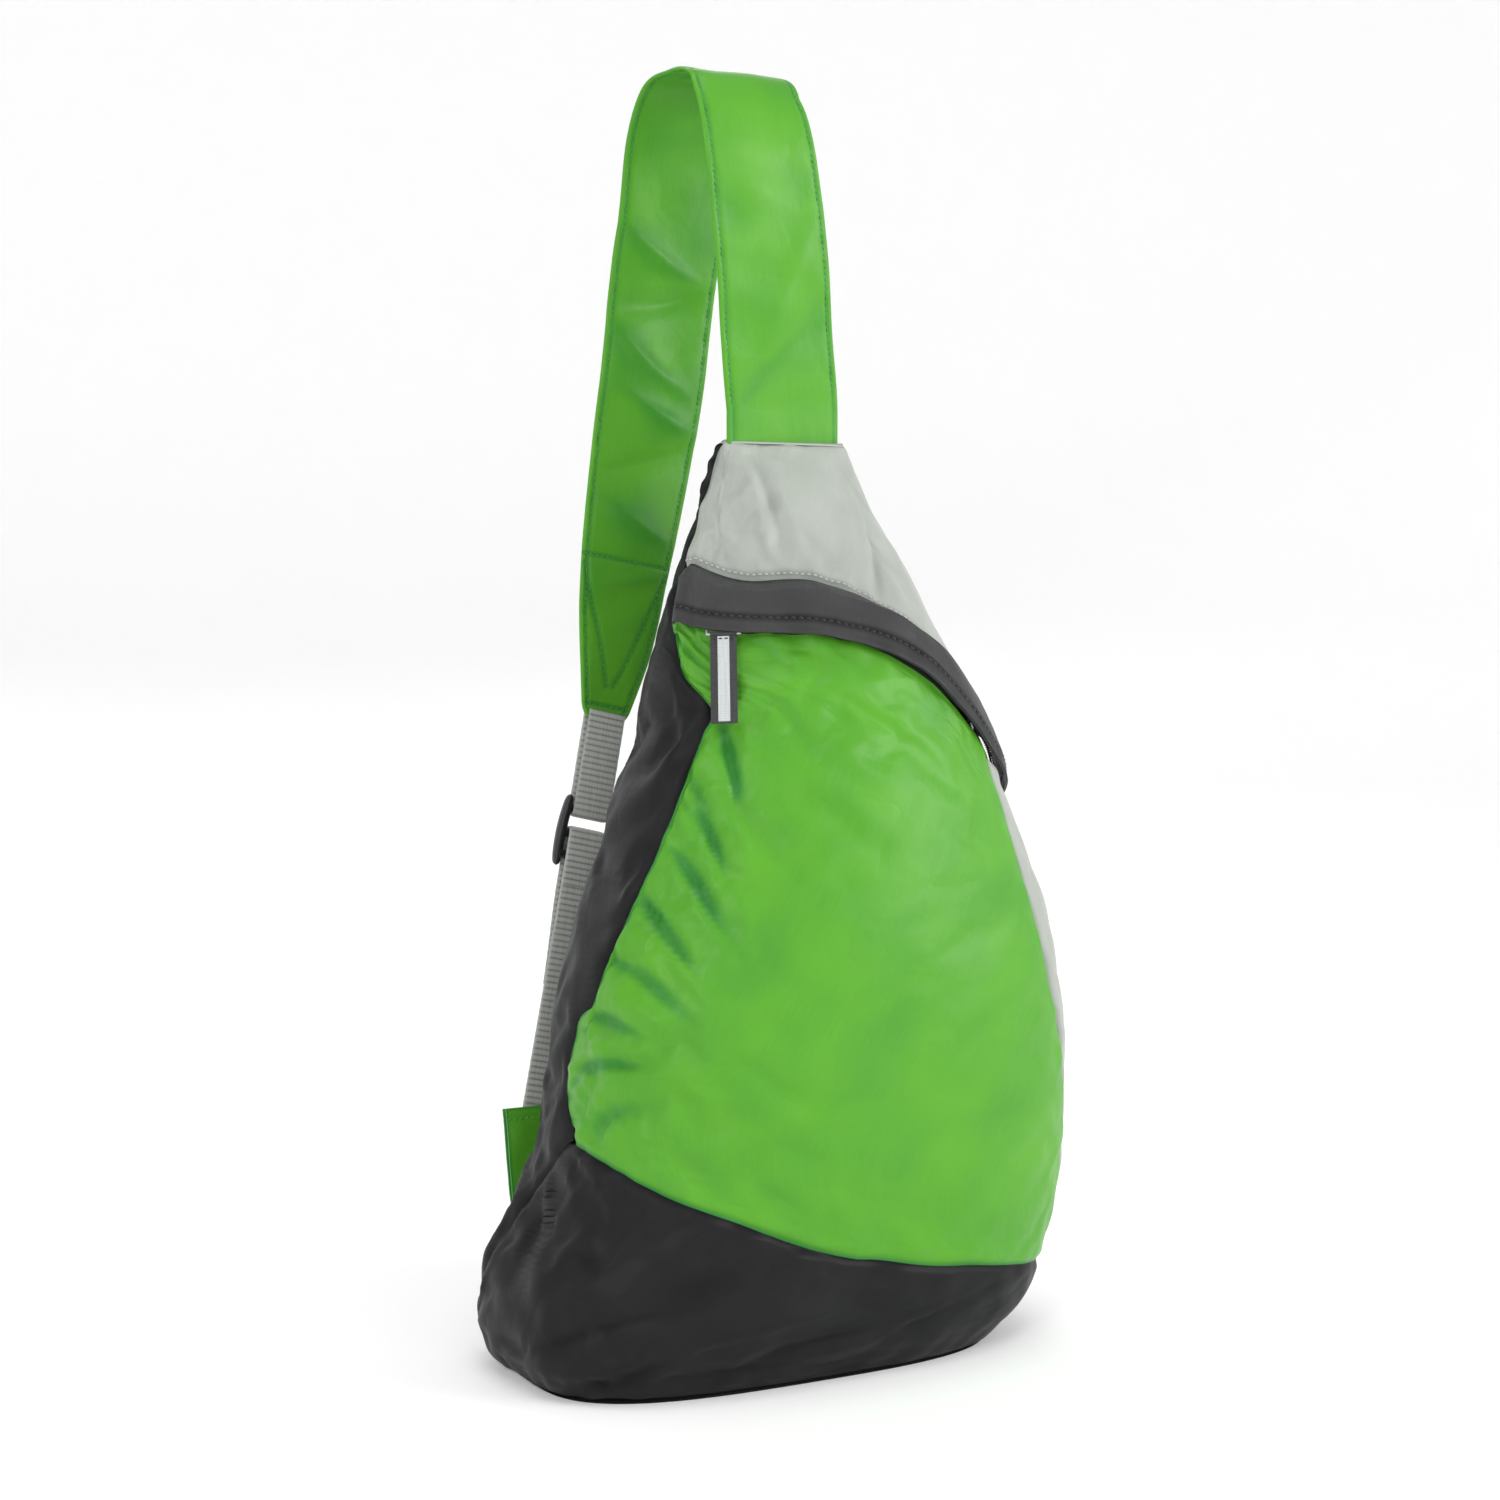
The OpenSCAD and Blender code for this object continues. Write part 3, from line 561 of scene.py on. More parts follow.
# %% Thread, webbing and trim materials
def plain_material(name, colour, rough, grain=0.0004, depth=0.15, metallic=0.0, sheen=0.0,
                   spread=0.25):
    """A hard or matt finish: fine grain on Object coordinates shifts the colour and roughness
    and dents the surface."""
    m, t, shader = new_material(name)
    place = put(t, "ShaderNodeTexCoord").outputs["Object"]
    noise = put(t, "ShaderNodeTexNoise", values={"Scale": 1 / grain, "Detail": 3.0},
                links={"Vector": place})
    tint_base(t, shader, noise.outputs[0], [c * (1 - spread) for c in colour],
              [min(1.0, c * (1 + spread)) for c in colour])
    t.links.new(calc(t, "ADD", rough - 0.05, calc(t, "MULTIPLY", noise.outputs[0], 0.1)),
                shader.inputs["Roughness"])
    bump = put(t, "ShaderNodeBump", values={"Strength": depth, "Distance": 0.0002},
               links={"Height": noise.outputs[0]})
    t.links.new(bump.outputs[0], shader.inputs["Normal"])
    shader.inputs["Metallic"].default_value = metallic
    shader.inputs["Sheen Weight"].default_value = sheen
    return m


GREEN_THREAD = plain_material("green_thread", (0.045, 0.27, 0.03), 0.6, sheen=0.3)
DARK_THREAD = plain_material("dark_thread", (0.008, 0.008, 0.009), 0.6, sheen=0.3)
PALE_THREAD = plain_material("pale_thread", (0.5, 0.53, 0.5), 0.6, sheen=0.3)
PLASTIC = plain_material("black_acetal", (0.014, 0.014, 0.015), 0.38, grain=0.0012, depth=0.1)
ENAMEL = plain_material("black_enamel", (0.03, 0.03, 0.032), 0.3, metallic=0.6)
STEEL = plain_material("puller_steel", (0.42, 0.43, 0.44), 0.3, metallic=1.0)
NYLON = plain_material("zip_nylon", (0.012, 0.012, 0.013), 0.5)

# %% [markdown]
# ## The sewn panels
# Each panel is a patch between two upright and two level seams. Where it is sewn, the cloth
# dives into the seam and gathers in short puckers; between the seams it bellies out a little and
# sags in long soft folds. A relief function adds these to the surface, in millimetres.


# %% Patches and puckers
def patch(left, right, low, top, ends, s, t):
    """A point (u, z) of a four-sided patch: a straight blend of the side seams at each height,
    shifted so that the low and top rows lie on their own seams."""
    zl, zr = mix(ends[0], ends[1], t), mix(ends[2], ends[3], t)
    u = mix(left(zl), right(zr), s)
    ub = mix(left(ends[0]), right(ends[2]), s)
    ut = mix(left(ends[1]), right(ends[3]), s)
    return u, (mix(zl, zr, s) + (1 - t) * (low(ub) - mix(ends[0], ends[2], s))
               + t * (top(ut) - mix(ends[1], ends[3], s)))


def puckers(along, away, pitch, reach, depth, seed, slant=0.0):
    """Gathers along a seam: four sine waves along it, of about the given pitch, that slant and
    die away exponentially with the distance from it."""
    r = np.random.default_rng(seed)
    run, total = along + slant * away, 0
    for k in range(4):
        wave = pitch * r.uniform(0.6, 1.7)
        total = total + np.sin(2 * np.pi * run / wave + r.uniform(0, 6.28)
                               + 0.8 * np.sin(2 * np.pi * along / (wave * 4.3)))
    swell = 0.55 + 0.45 * np.sin(2 * np.pi * along / (pitch * 5.1) + r.uniform(0, 6.28))
    return depth * swell * np.exp(-away / reach) * total / 2


def fold(x, y, at, heading, long, wide, depth):
    """One fold: a ridge (or a valley, below 0) with a bell-shaped length and a sharper cross
    profile, 1 / (1 + (distance / width)^2)."""
    a = np.radians(heading)
    p = (x - at[0]) * np.cos(a) + (y - at[1]) * np.sin(a)
    q = -(x - at[0]) * np.sin(a) + (y - at[1]) * np.cos(a)
    q = q + 0.06 * p * p / long
    return depth * np.exp(-(p / long) ** 2) / (1 + (q / wide) ** 2)


def add_folds(out, x, y, folds, scale=1.0):
    """The relief out with a list of folds added, each times the scale."""
    for at, heading, long, wide, depth in folds:
        out = out + scale * fold(x, y, at, heading, long, wide, depth)
    return out


def dive(distance, depth=1.5, width=2.6):
    """How deep sewn cloth sinks beside its seam: a bell in the distance from it."""
    return -depth * np.exp(-(distance / width) ** 2)


def smooth_patch(values, passes=24):
    """A broad mean of a grid: the mean with its four neighbours, over and over."""
    for _ in range(passes):
        wide = np.pad(values, 3, mode="edge")
        values = (wide[:-6, 3:-3] + wide[6:, 3:-3] + wide[3:-3, :-6] + wide[3:-3, 6:]) / 4
    return values


CLOTH_T = 1.2
OPEN_CLOTH = 20.0  # the seam value of cloth that is far from any seam


def panel(name, seams, ends, size, relief, material, slot, sewn="lrbt", lift=None,
          thick=CLOTH_T, stitched=(), keep=1.0, shade=1.9):
    """Builds one panel. relief(x, y, d) gets the running lengths and the four distances to the
    edges (left, right, low, top), in millimetres, and gives the offset along the normal. The cloth
    is darker near its sewn edges. stitched names rows of stitches as (edge, distance); painted
    shade darkens the cloth there, and in the valleys of the folds as far as shade says. keep is
    the share of the simulated wrinkles."""
    s, t = np.meshgrid(closer(size[0]), closer(size[1]))
    u, z = patch(*seams, ends, s, t)
    base = body(u, z)
    x, y = lengths(base, 1), lengths(base, 0)
    d = {"l": x, "r": x[:, -1:] - x, "b": y, "t": y[-1:] - y}
    out = relief(x, y, d)
    for side in sewn:
        out = out + dive(d[side])
    if lift is not None:
        out = out + lift(s, t, d)
    n = normal(u, z)
    base = base + wrinkles(u, z) * keep + slump(u, z)[..., None] * n
    points = np.stack([base + out[..., None] * n, base + (out - thick)[..., None] * n])
    # Darker near the sewn edges, and painted shade along the stitch rows.
    nearest = np.minimum.reduce([d[k] for k in (sewn or "b")]
                                + [np.abs(d[k] - at) * 0.9 for k, at in stitched])
    # Painted shade: the cloth is darkened in the valleys of its folds.
    painted_fold_shade = np.clip((smooth_patch(out) - out) / 1.5 - 0.1, 0, 1)
    nearest = np.minimum(nearest, 2.5 - shade * painted_fold_shade)
    pattern = np.stack([x + 60, y + z.min()], -1)
    piece = add_piece(name, points.reshape(-1, 3), slab_faces(*s.shape),
                      np.vstack([pattern.reshape(-1, 2)] * 2), material, "bag", slot,
                      seam=np.tile(nearest.ravel(), 2))
    return piece, (x, y, base, n, out)


# %% Front panel
front_u = (left_u, right_u, boot_z, panel_top_z)
front_ends = (0.255 * BAG_H, float(panel_top_z(-91)), float(boot_z(47)), float(panel_top_z(48)))
FRONT_FOLDS = (
    ((22, 190), -58, 24, 3.4, -3.4), ((30, 176), -52, 24, 3.4, 2.2),
    ((26, 158), -40, 28, 3.6, -3.8), ((38, 147), -38, 26, 4, 2.4),
    ((30, 136), -30, 26, 3.6, -3.2), ((44, 124), -30, 22, 4, 2.0),
    ((24, 112), -20, 26, 3.6, -3.0), ((40, 100), -16, 24, 4, 1.8),
    ((22, 88), -6, 28, 4, -2.6), ((34, 74), -2, 24, 4, 1.6),
    ((20, 62), 6, 26, 4, -2.2), ((26, 40), 26, 28, 4, -2.2), ((34, 52), 22, 24, 4, 1.4),
    ((36, 20), 34, 26, 5, -1.6))


def front_relief(x, y, d):
    """Gathers run in from the left seam, longest under the pull tab; the rest is nearly smooth."""
    total = y[-1:]
    high = y / total
    out = puckers(y, d["l"], 15, 16, 1.5, 11, 0.5)
    out = out + puckers(y, d["l"], 34, 34, 1.9, 12, 0.7) * np.exp(-((high - 0.52) / 0.3) ** 2)
    out = out + puckers(x, d["t"], 24, 9, 0.5, 13) + puckers(x, d["b"], 22, 8, 0.5, 14)
    out = out + puckers(y, d["r"], 26, 8, 0.5, 15)
    out = add_folds(out + 0.8 * waves(x, y, 90, 16), x, y, FRONT_FOLDS, 1.5)
    return out * (1 - np.exp(-np.minimum.reduce(list(d.values())) / 2.5))


front, _ = panel("front_panel_cloth", front_u, front_ends, (150, 200), front_relief,
                 GREEN, "green_cloth", sewn="lrb")
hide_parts("front_panel")

# %% Boot panel
boot_u = (left_u, lambda z: BACK_SEAM + 0 * z, lambda u: BASE_T + 0 * u, boot_z)
boot_ends = (BASE_T, 0.255 * BAG_H, BASE_T, float(boot_z(BACK_SEAM)))
BOOT_FOLDS = (
    ((20, 96), -28, 26, 3.4, 3.2), ((34, 92), -34, 24, 3.4, -3.4),
    ((48, 82), -46, 20, 3.2, 2.6), ((20, 76), -66, 26, 3.6, -3.0),
    ((34, 66), -50, 24, 3.6, -2.4), ((60, 72), -24, 24, 4, -2.0),
    ((40, 20), 6, 40, 5, -2.4), ((86, 34), 30, 34, 4, -2.0),
    ((120, 16), 24, 50, 5, -2.2), ((150, 34), 38, 34, 4, 1.6),
    ((180, 22), 30, 50, 5, -2.0), ((215, 26), 36, 40, 4, 1.6),
    ((238, 20), 48, 30, 4, -1.8), ((150, 12), 4, 90, 4, -1.4))


def boot_relief(x, y, d):
    """Stiff black cloth: folds fan out from the upper left corner and lie along the base."""
    out = puckers(x, d["t"], 26, 10, 0.8, 21, 0.4) + puckers(x, d["b"], 34, 12, 1.0, 22)
    out = out + puckers(y, d["l"], 20, 14, 1.0, 23, -0.6) + 1.1 * waves(x, y, 60, 24)
    out = add_folds(out, x, y, BOOT_FOLDS)
    return out * (1 - np.exp(-np.minimum.reduce(list(d.values())) / 2.5))


boot, _ = panel("boot_panel_cloth", boot_u, boot_ends, (200, 64), boot_relief,
                BLACK, "black_cloth", sewn="lrt")
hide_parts("boot_panel")


# %% Upper panel
def calm_relief(seed, depth=1.0, size=70, gather=0.8):
    """Relief of a panel with no marked folds: long soft waves and short gathers at its seams."""
    def relief(x, y, d):
        out = depth * waves(x, y, size, seed)
        for i, (side, run) in enumerate((("l", y), ("r", y), ("b", x), ("t", x))):
            out = out + puckers(run, d[side], 22, 10, gather, seed + i + 1)
        return out * (1 - np.exp(-np.minimum.reduce(list(d.values())) / 2.5))
    return relief


upper_u = (left_u, lambda z: BACK_SEAM + 0 * z, upper_low_z, lambda u: BAG_H + 0 * u)
upper_ends = (float(flap_top_z(-92)), BAG_H, float(upper_low_z(BACK_SEAM)), BAG_H)
UPPER_FOLDS = (
    ((30, 42), -58, 26, 3.2, 2.8), ((38, 40), -58, 24, 3.4, -2.4),
    ((48, 34), -50, 22, 3.6, 1.8), ((16, 24), -30, 22, 3.6, 1.6),
    ((92, 44), -76, 36, 4, 2.4), ((100, 36), -74, 36, 4, -2.2),
    ((110, 26), -60, 30, 4, 1.8), ((128, 40), -70, 40, 6, 1.8))
UPPER_STITCH = 3.4


def upper_relief(x, y, d):
    """A crease runs down from the strap's left corner, and one down the right shoulder."""
    return add_folds(calm_relief(31, 0.9, 50, 0.9)(x, y, d), x, y, UPPER_FOLDS)


upper, upper_grid = panel("upper_panel_cloth", upper_u, upper_ends, (200, 90), upper_relief,
                          GREY, "grey_cloth", stitched=(("b", UPPER_STITCH),), keep=0.8)
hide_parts("upper_panel")

# %% Side and back panels
closing = lambda u: np.clip((np.asarray(u, float) - 68) / 6, 0, 1)
gusset_top_z = lambda u: mix(panel_top_z(u), upper_low_z(u), closing(u))
gusset_u = (right_u, lambda z: BACK_SEAM + 0 * z, boot_z, gusset_top_z)
gusset_ends = (float(boot_z(47)), float(panel_top_z(48)), float(boot_z(BACK_SEAM)),
               float(panel_top_z(BACK_SEAM)))
gusset, _ = panel("right_side_cloth", gusset_u, gusset_ends, (80, 110),
                  calm_relief(41, 1.2, 80), GREY, "grey_cloth")
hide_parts("right_gusset")

side_u = (lambda z: -BACK_SEAM + 0 * z, left_u, lambda u: BASE_T + 0 * u, lambda u: BAG_H + 0 * u)
side, _ = panel("left_side_cloth", side_u, (BASE_T, BAG_H, BASE_T, BAG_H), (50, 190),
                calm_relief(51, 1.1, 60, 0.9), BLACK, "black_cloth", sewn="lrt")
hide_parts("left_gusset")

back_u = (lambda z: BACK_SEAM + 0 * z, lambda z: 360 - BACK_SEAM + 0 * z,
          lambda u: BASE_T + 0 * u, lambda u: BAG_H + 0 * u)
rear, _ = panel("back_panel_cloth", back_u, (BASE_T, BAG_H, BASE_T, BAG_H), (90, 150),
                calm_relief(61, 1.3, 90, 0.9), CHARCOAL, "black_cloth", sewn="lrt")
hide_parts("back_panel")

# %% Storm flap
FLAP_LIFT, FLAP_T = 7.2, 1.6
flap_u = (lambda z: -89 + 0 * z, lambda z: FLAP_END + 0 * z, flap_low_z, lambda u: flap_top_z(u))
flap_ends = (float(flap_low_z(-91)), float(flap_top_z(-91)), float(flap_low_z(FLAP_END)),
             float(flap_top_z(FLAP_END)))


def flap_lift(s, t, d):
    """The flap stands off the cloth over the zip, comes down to it at its sewn top and at its
    right end, and its hem curls back in."""
    down = np.clip((s - 0.66) / 0.18, 0, 1)
    left_down = np.clip(1 - s / 0.05, 0, 1) ** 2
    right = np.clip((s - 0.35) / 0.3, 0, 1)
    curl = (0.34 + 0.2 * right) * np.exp(-(d["b"] / 6.5) ** 2)
    rise = FLAP_LIFT * np.minimum(1, 3.4 * (1 - t)) * (1 - 0.38 * down * down * (3 - 2 * down))
    rise = rise * (1 - 0.8 * left_down) * (1 - curl)
    rise = rise + 0.3 + FLAP_T
    return rise


HEM = 7.0


def flap_relief(x, y, d):
    """A hem: the doubled edge is a little thicker, and its stitch line sinks."""
    out = 0.5 * waves(x, y, 30, 71) + puckers(x, d["t"], 20, 8, 0.6, 72)
    return out - 0.55 * np.exp(-((y - HEM) / 0.8) ** 2) + 0.25 * (y < HEM)


flap, flap_grid = panel("storm_flap_cloth", flap_u, flap_ends, (220, 72), flap_relief, CHARCOAL,
                        "charcoal_cloth", sewn="t", lift=flap_lift, thick=FLAP_T,
                        stitched=(("b", HEM),), keep=0.3)
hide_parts("storm_flap")

# %% [markdown]
# ## Base and top seam
# The base is a stiffened board in black cloth. The top seam closes the body round the strap.

# %% Base and top seam
AROUND, CAP_INSET, CAP_SPINE = 160, 0.99, 20


def cap(name, level, rise, bulge, replaced, offset=0.0, material=BLACK, slot="black_cloth"):
    """A flat-bottomed or flat-topped cushion of the section at one height: rings shrink to the
    section's middle line while the height rises as a quarter ellipse."""
    edge = bare(np.linspace(-180, 180, AROUND + 1)[:-1], np.full(AROUND, level))
    middle = edge.mean(0)
    spine = np.stack([np.clip(edge[:, 0], middle[0] - CAP_SPINE, middle[0] + CAP_SPINE),
                      np.full(AROUND, middle[1]), edge[:, 2]], -1)
    ring = lambda k, height: spine + (edge - spine) * (1 - k) * CAP_INSET + [0, 0, height]
    share = np.array([0, 0.015, 0.04, 0.1, 0.3, 0.6, 1.0])
    rings = [ring(k, offset + rise * np.sqrt(1 - (1 - min(1, k * 8)) ** 2) + bulge * k)
             for k in share]
    points = np.array([ring(k, offset) for k in share[::-1]] + rings)
    flat = points.reshape(-1, 3)
    piece = add_piece(name, flat, tube_quads(len(points), AROUND), flat[:, :2], material, "bag",
                      slot, seam=np.full(len(flat), OPEN_CLOTH))
    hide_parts(replaced)


cap("base_cloth", 0.0, BASE_T, 0.0, "base_panel")
cap("top_seam_cloth", BAG_H, 1.0, 0.3, "top_binding", -1.8, GREY, "grey_cloth")

# %% [markdown]
# ## The shoulder strap
# The strap is two layers of the green cloth, sewn near both edges. A line through stations gives
# its middle, and the cross section is a flat lens pinched at the two rows of stitches. It is made
# in two pieces.

# %% Strap line
ROOT = np.array([(bare(90.0, BAG_H) + bare(-90.0, BAG_H))[0] / 2,
                 (bare(0.0, BAG_H) + bare(180.0, BAG_H))[1] / 2, BAG_H + 3])
STRAP_W, ROOT_RUN = 64.0, 11.0
STRAP_LINE = np.array([
    [-3.5, -2, 0, 100], [-0.5, 0, ROOT_RUN, 100], [-4, -2, 39, 100], [-8, -4, 79, 100],
    [-12, -4, 116, 99], [-15, -1, 145, 97], [-17, 5, 163, 94], [-16, 16, 174, 92],
    [-16, 37, 178, 92], [-17, 60, 174, 94], [-20, 72, 149, 96], [-22, 76, 114, 97],
    [-26, 78, 84, 96], [-33, 78, 29, 94], [-40, 77, -11, 90], [-50, 74, -61, 80],
    [-56, 73, -102, 66], [-64, 71, -141, 39]])


def strap_at(t):
    """Catmull-Rom curve through the stations; t counts stations. Gives x, y, z and width."""
    n = len(STRAP_LINE) - 1
    i = np.clip(np.floor(t).astype(int), 0, n - 1)
    f = (t - i)[..., None]
    a, b = STRAP_LINE[np.maximum(i - 1, 0)], STRAP_LINE[i]
    c, d = STRAP_LINE[i + 1], STRAP_LINE[np.minimum(i + 2, n)]
    return 0.5 * (2 * b + (c - a) * f + (2 * a - 5 * b + 4 * c - d) * f * f
                  + (3 * b - a - 3 * c + d) * f ** 3)


def strap_frame(t):
    """Middle point, across and outward directions, and width at t. Below the first free station
    the strap runs straight down into the top seam."""
    tc = np.maximum(t, 1.0)
    here, ahead, behind = strap_at(tc), strap_at(tc + 0.02), strap_at(tc - 0.02)
    point = here[..., :3] + ROOT
    along = unit(ahead[..., :3] - behind[..., :3])
    sunk = np.minimum(t - 1.0, 0)[..., None] * (ROOT_RUN + 6.0)
    point = point + sunk * [0.0, 0.0, 1.0]
    side = np.array([1, 0.05, 0.0])
    across = unit(side - along * (along @ side)[..., None])
    return point, across, np.cross(across, along), here[..., 3] / 100 * STRAP_W


# %% Strap folds and marks
STRAP_T, STITCH_IN, HEM_ROUND = 2.6, 3.2, 7.0
STRAP_FOLDS = (
    ((-8, 300), 24, 30, 5, -1.6), ((6, 322), -20, 26, 5, 1.4),
    ((-10, 352), 30, 30, 5, -1.6), ((8, 380), 18, 28, 5, -1.4),
    ((-4, 408), -24, 28, 5, 1.2), ((0, 436), 20, 30, 5, -1.2),
    ((6, 466), -16, 26, 5, -1.1), ((-12, 18), 40, 22, 5, -1.2),
    ((14, 70), 60, 46, 8, 1.2))
# A row across the strap, two rows that meet in a point below it, and the hem, measured from
# the strap's lower end.
STRAP_MARKS = (((-25.0, -81.0), (25.0, -81.0)), ((-23.5, -77.0), (-2.0, -17.0)),
               ((23.5, -77.0), (2.0, -17.0)), ((-11.0, -7.0), (11.0, -7.0)))
free = lambda run: np.clip((run - 4) / 30, 0, 1)  # the strap is flat where it is sewn in


def strap_relief(run, v, width):
    """Bends of the whole strap (first) and the puff of one layer (second), in millimetres. The
    run is the length along it and v goes from -1 to 1 across."""
    x = v * width / 2
    calm = 1 - 0.75 * np.abs(v) ** 3
    bend = (1.1 * waves(x, run, 60, 81) + 0.7 * waves(x * 0.6, run, 26, 82)) * calm
    bend = add_folds(bend, x, run, STRAP_FOLDS, 1.7 * calm)
    edge = width / 2 - np.abs(x)
    pinch = np.exp(-((edge - STITCH_IN) / 1.1) ** 2)
    puff = (1 - np.exp(-edge / 0.9)) * (1 - 0.45 * pinch) + 0.25 * waves(x, run, 9, 84) * pinch
    return bend, puff


def beside(x, run, marks):
    """Distance from the nearest of some straight marks, each from one (x, run) to another."""
    near = np.full(np.broadcast(x, run).shape, 99.0)
    for (xa, ra), (xb, rb) in marks:
        k = np.clip(((x - xa) * (xb - xa) + (run - ra) * (rb - ra))
                    / ((xb - xa) ** 2 + (rb - ra) ** 2), 0, 1)
        near = np.minimum(near, np.hypot(x - mix(xa, xb, k), run - mix(ra, rb, k)))
    return near


# %% Strap pieces
def strap_piece(name, t0, t1, rings, hem=0.0, marks=()):
    """A strip from station t0 to t1: the cross section is a closed ring of points, outer layer
    then inner layer, carried along the line. hem rounds the corners of the far end, and the
    cloth sinks along the marks."""
    t = np.linspace(t0, t1, rings)
    point, across, out, width = strap_frame(t)
    fine = np.linspace(1, t1, 900)
    run = (np.interp(t, fine, lengths(strap_at(fine)[:, :3], 0))
           + np.minimum(t - 1.0, 0) * ROOT_RUN)
    if hem:
        left = np.maximum(0, hem - (run[-1] - run)) / hem
        width = width - 2 * hem * 0.55 * (1 - np.sqrt(1 - left ** 2 * 0.999))
    v, face = both_faces(np.sin(np.linspace(-np.pi / 2, np.pi / 2, 41)))
    vv, rr = np.meshgrid(v, run)
    bend, puff = strap_relief(rr, vv, width[:, None])
    marked = beside(vv * width[:, None] / 2, rr - run[-1], marks)
    puff = puff * (1 - 0.5 * np.exp(-(marked / 1.2) ** 2))
    height = bend * free(rr) + face * puff * STRAP_T / 2
    points = (point[:, None] + across[:, None] * (vv * width[:, None] / 2)[..., None]
              + out[:, None] * height[..., None])
    uv = np.stack([vv * width[:, None] / 2 + 40 + face * 45, rr], -1)
    # Painted shade along the two rows of stitches on each face, along the marks and in the valleys
    # of the bends.
    seam = np.abs(width[:, None] / 2 * (1 - np.abs(vv)) - STITCH_IN) + 0.9
    seam = np.minimum(np.minimum(seam, marked + 0.6), 2.5 - 1.1 * np.clip(-bend / 1.6, 0, 1))
    piece = add_piece(name, points.reshape(-1, 3), ring_faces(rings, len(v)), uv.reshape(-1, 2),
                      GREEN, None, "green_cloth", seam=seam.ravel())
    return piece, dict(t=t, run=run, point=point, across=across, out=out, width=width)


FOOT, CROWN_END, HEAD = 0.05, 10.2, len(STRAP_LINE) - 1.02  # stations of the pieces' ends
strap_up, up_line = strap_piece("strap_front_cloth", FOOT, CROWN_END, 330)
strap_down, down_line = strap_piece("strap_back_cloth", CROWN_END, HEAD, 420, HEM_ROUND,
                                    STRAP_MARKS)
FRONT_BLEND = ("bag", "strap", tuple((ROOT + [0, 0, 2]) * MM), tuple((ROOT + [-6, -2, 60]) * MM))
BACK_BLEND = ("strap", "adjuster", (0.005, 0.098, 0.560), (-0.013, 0.098, 0.400))
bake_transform(strap_up)
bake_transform(strap_down)
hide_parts("strap_root", "strap_front", "strap_crown")
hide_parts("strap_back", "strap_end")

# %% [markdown]
# ## Stitches
# A lockstitch shows as short raised dashes with a small gap, each one pulled down at its ends.
# One stitch is a few-sided spindle; a row is that shape set out along a line, all in one array.


# %% Stitch rows
def resample(points, normals, pitch):
    """Middle, direction and normal of each stitch, at even steps along a line of points."""
    run = lengths(points, 0)
    count = max(1, int(run[-1] / pitch))
    at = (np.arange(count) + 0.5) * run[-1] / count
    ahead = track(points, run, np.minimum(at + 0.5, run[-1]))
    along = unit(ahead - track(points, run, np.maximum(at - 0.5, 0)))
    return track(points, run, at), along, unit(track(normals, run, at))


def stitches(name, rows, material, slot, body_name=None, pitch=3.0, long=2.1, thick=0.42,
             blend=None):
    """All the stitches of some rows as one mesh. A spindle has 7 rings of 6 points; its radius
    is a root of a sine, and its line bows up by a sine."""
    rings, sides = 7, 6
    ring = np.linspace(0, 1, rings)
    turn = np.arange(sides) * np.pi / 3
    radius = thick * np.maximum(np.sin(np.pi * ring) ** 0.5, 0.12)
    parts = []
    for points, normals in rows:
        m, a, n = resample(points, normals, pitch)
        b = np.cross(n, a)
        along = (ring - 0.5) * long
        bow = thick * 1.1 * np.sin(np.pi * ring) - thick * 0.5
        centre = (m[:, None] + a[:, None] * along[:, None] + n[:, None] * bow[:, None])
        skin = (centre[:, :, None] + b[:, None, None] * (radius[:, None] * np.cos(turn))[..., None]
                + n[:, None, None] * (radius[:, None] * np.sin(turn) * 0.7)[..., None])
        parts.append(skin.reshape(-1, rings * sides, 3))
    points = np.concatenate(parts)
    first = np.arange(len(points)) * rings * sides
    faces = (ring_faces(rings, sides)[None] + first[:, None, None]).reshape(-1, 4)
    flat = points.reshape(-1, 3)
    piece = add_piece(name, flat, faces, flat[:, :2], material, body_name, slot)
    if blend:
        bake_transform(piece)
    print(name, len(points), "stitches")
    return piece


def strap_row(line, v_of, side, lift=STRAP_T / 2 - 0.55):
    """A line of points along the strap at a place across it, on its outer or inner face."""
    v = v_of(line["width"])
    bend, _ = strap_relief(line["run"], v, line["width"])
    height = bend * free(line["run"]) + side * lift
    points = (line["point"] + line["across"] * (v * line["width"] / 2)[:, None]
              + line["out"] * height[:, None])
    return points, line["out"] * side


def row_at(grid, distance, trim=2):
    """The points and normals of a panel's outer face at a distance above its low edge."""
    x, y, base, n, out = grid
    skin = base + out[..., None] * n
    column = np.arange(y.shape[1])
    i = np.clip((y < distance).sum(0) - 1, 0, len(y) - 2)
    share = (distance - y[i, column]) / (y[i + 1, column] - y[i, column])
    points = mix(skin[i, column], skin[i + 1, column], share[:, None])
    return points[trim:-trim], n[i, column][trim:-trim]


def strap_mark(line, mark, side, lift=STRAP_T / 2 - 0.75):
    """A line of points along one of the strap's marks, on its outer or inner face."""
    (xa, ra), (xb, rb) = mark
    k = np.linspace(0, 1, 60)
    x, run = mix(xa, xb, k), mix(ra, rb, k) + line["run"][-1]
    pick = lambda a: track(a, line["run"], run)
    width = np.interp(run, line["run"], line["width"])
    bend, _ = strap_relief(run, x / width * 2, width)
    return (pick(line["point"]) + pick(line["across"]) * x[:, None]
            + pick(line["out"]) * (bend + side * lift)[:, None]), pick(line["out"]) * side


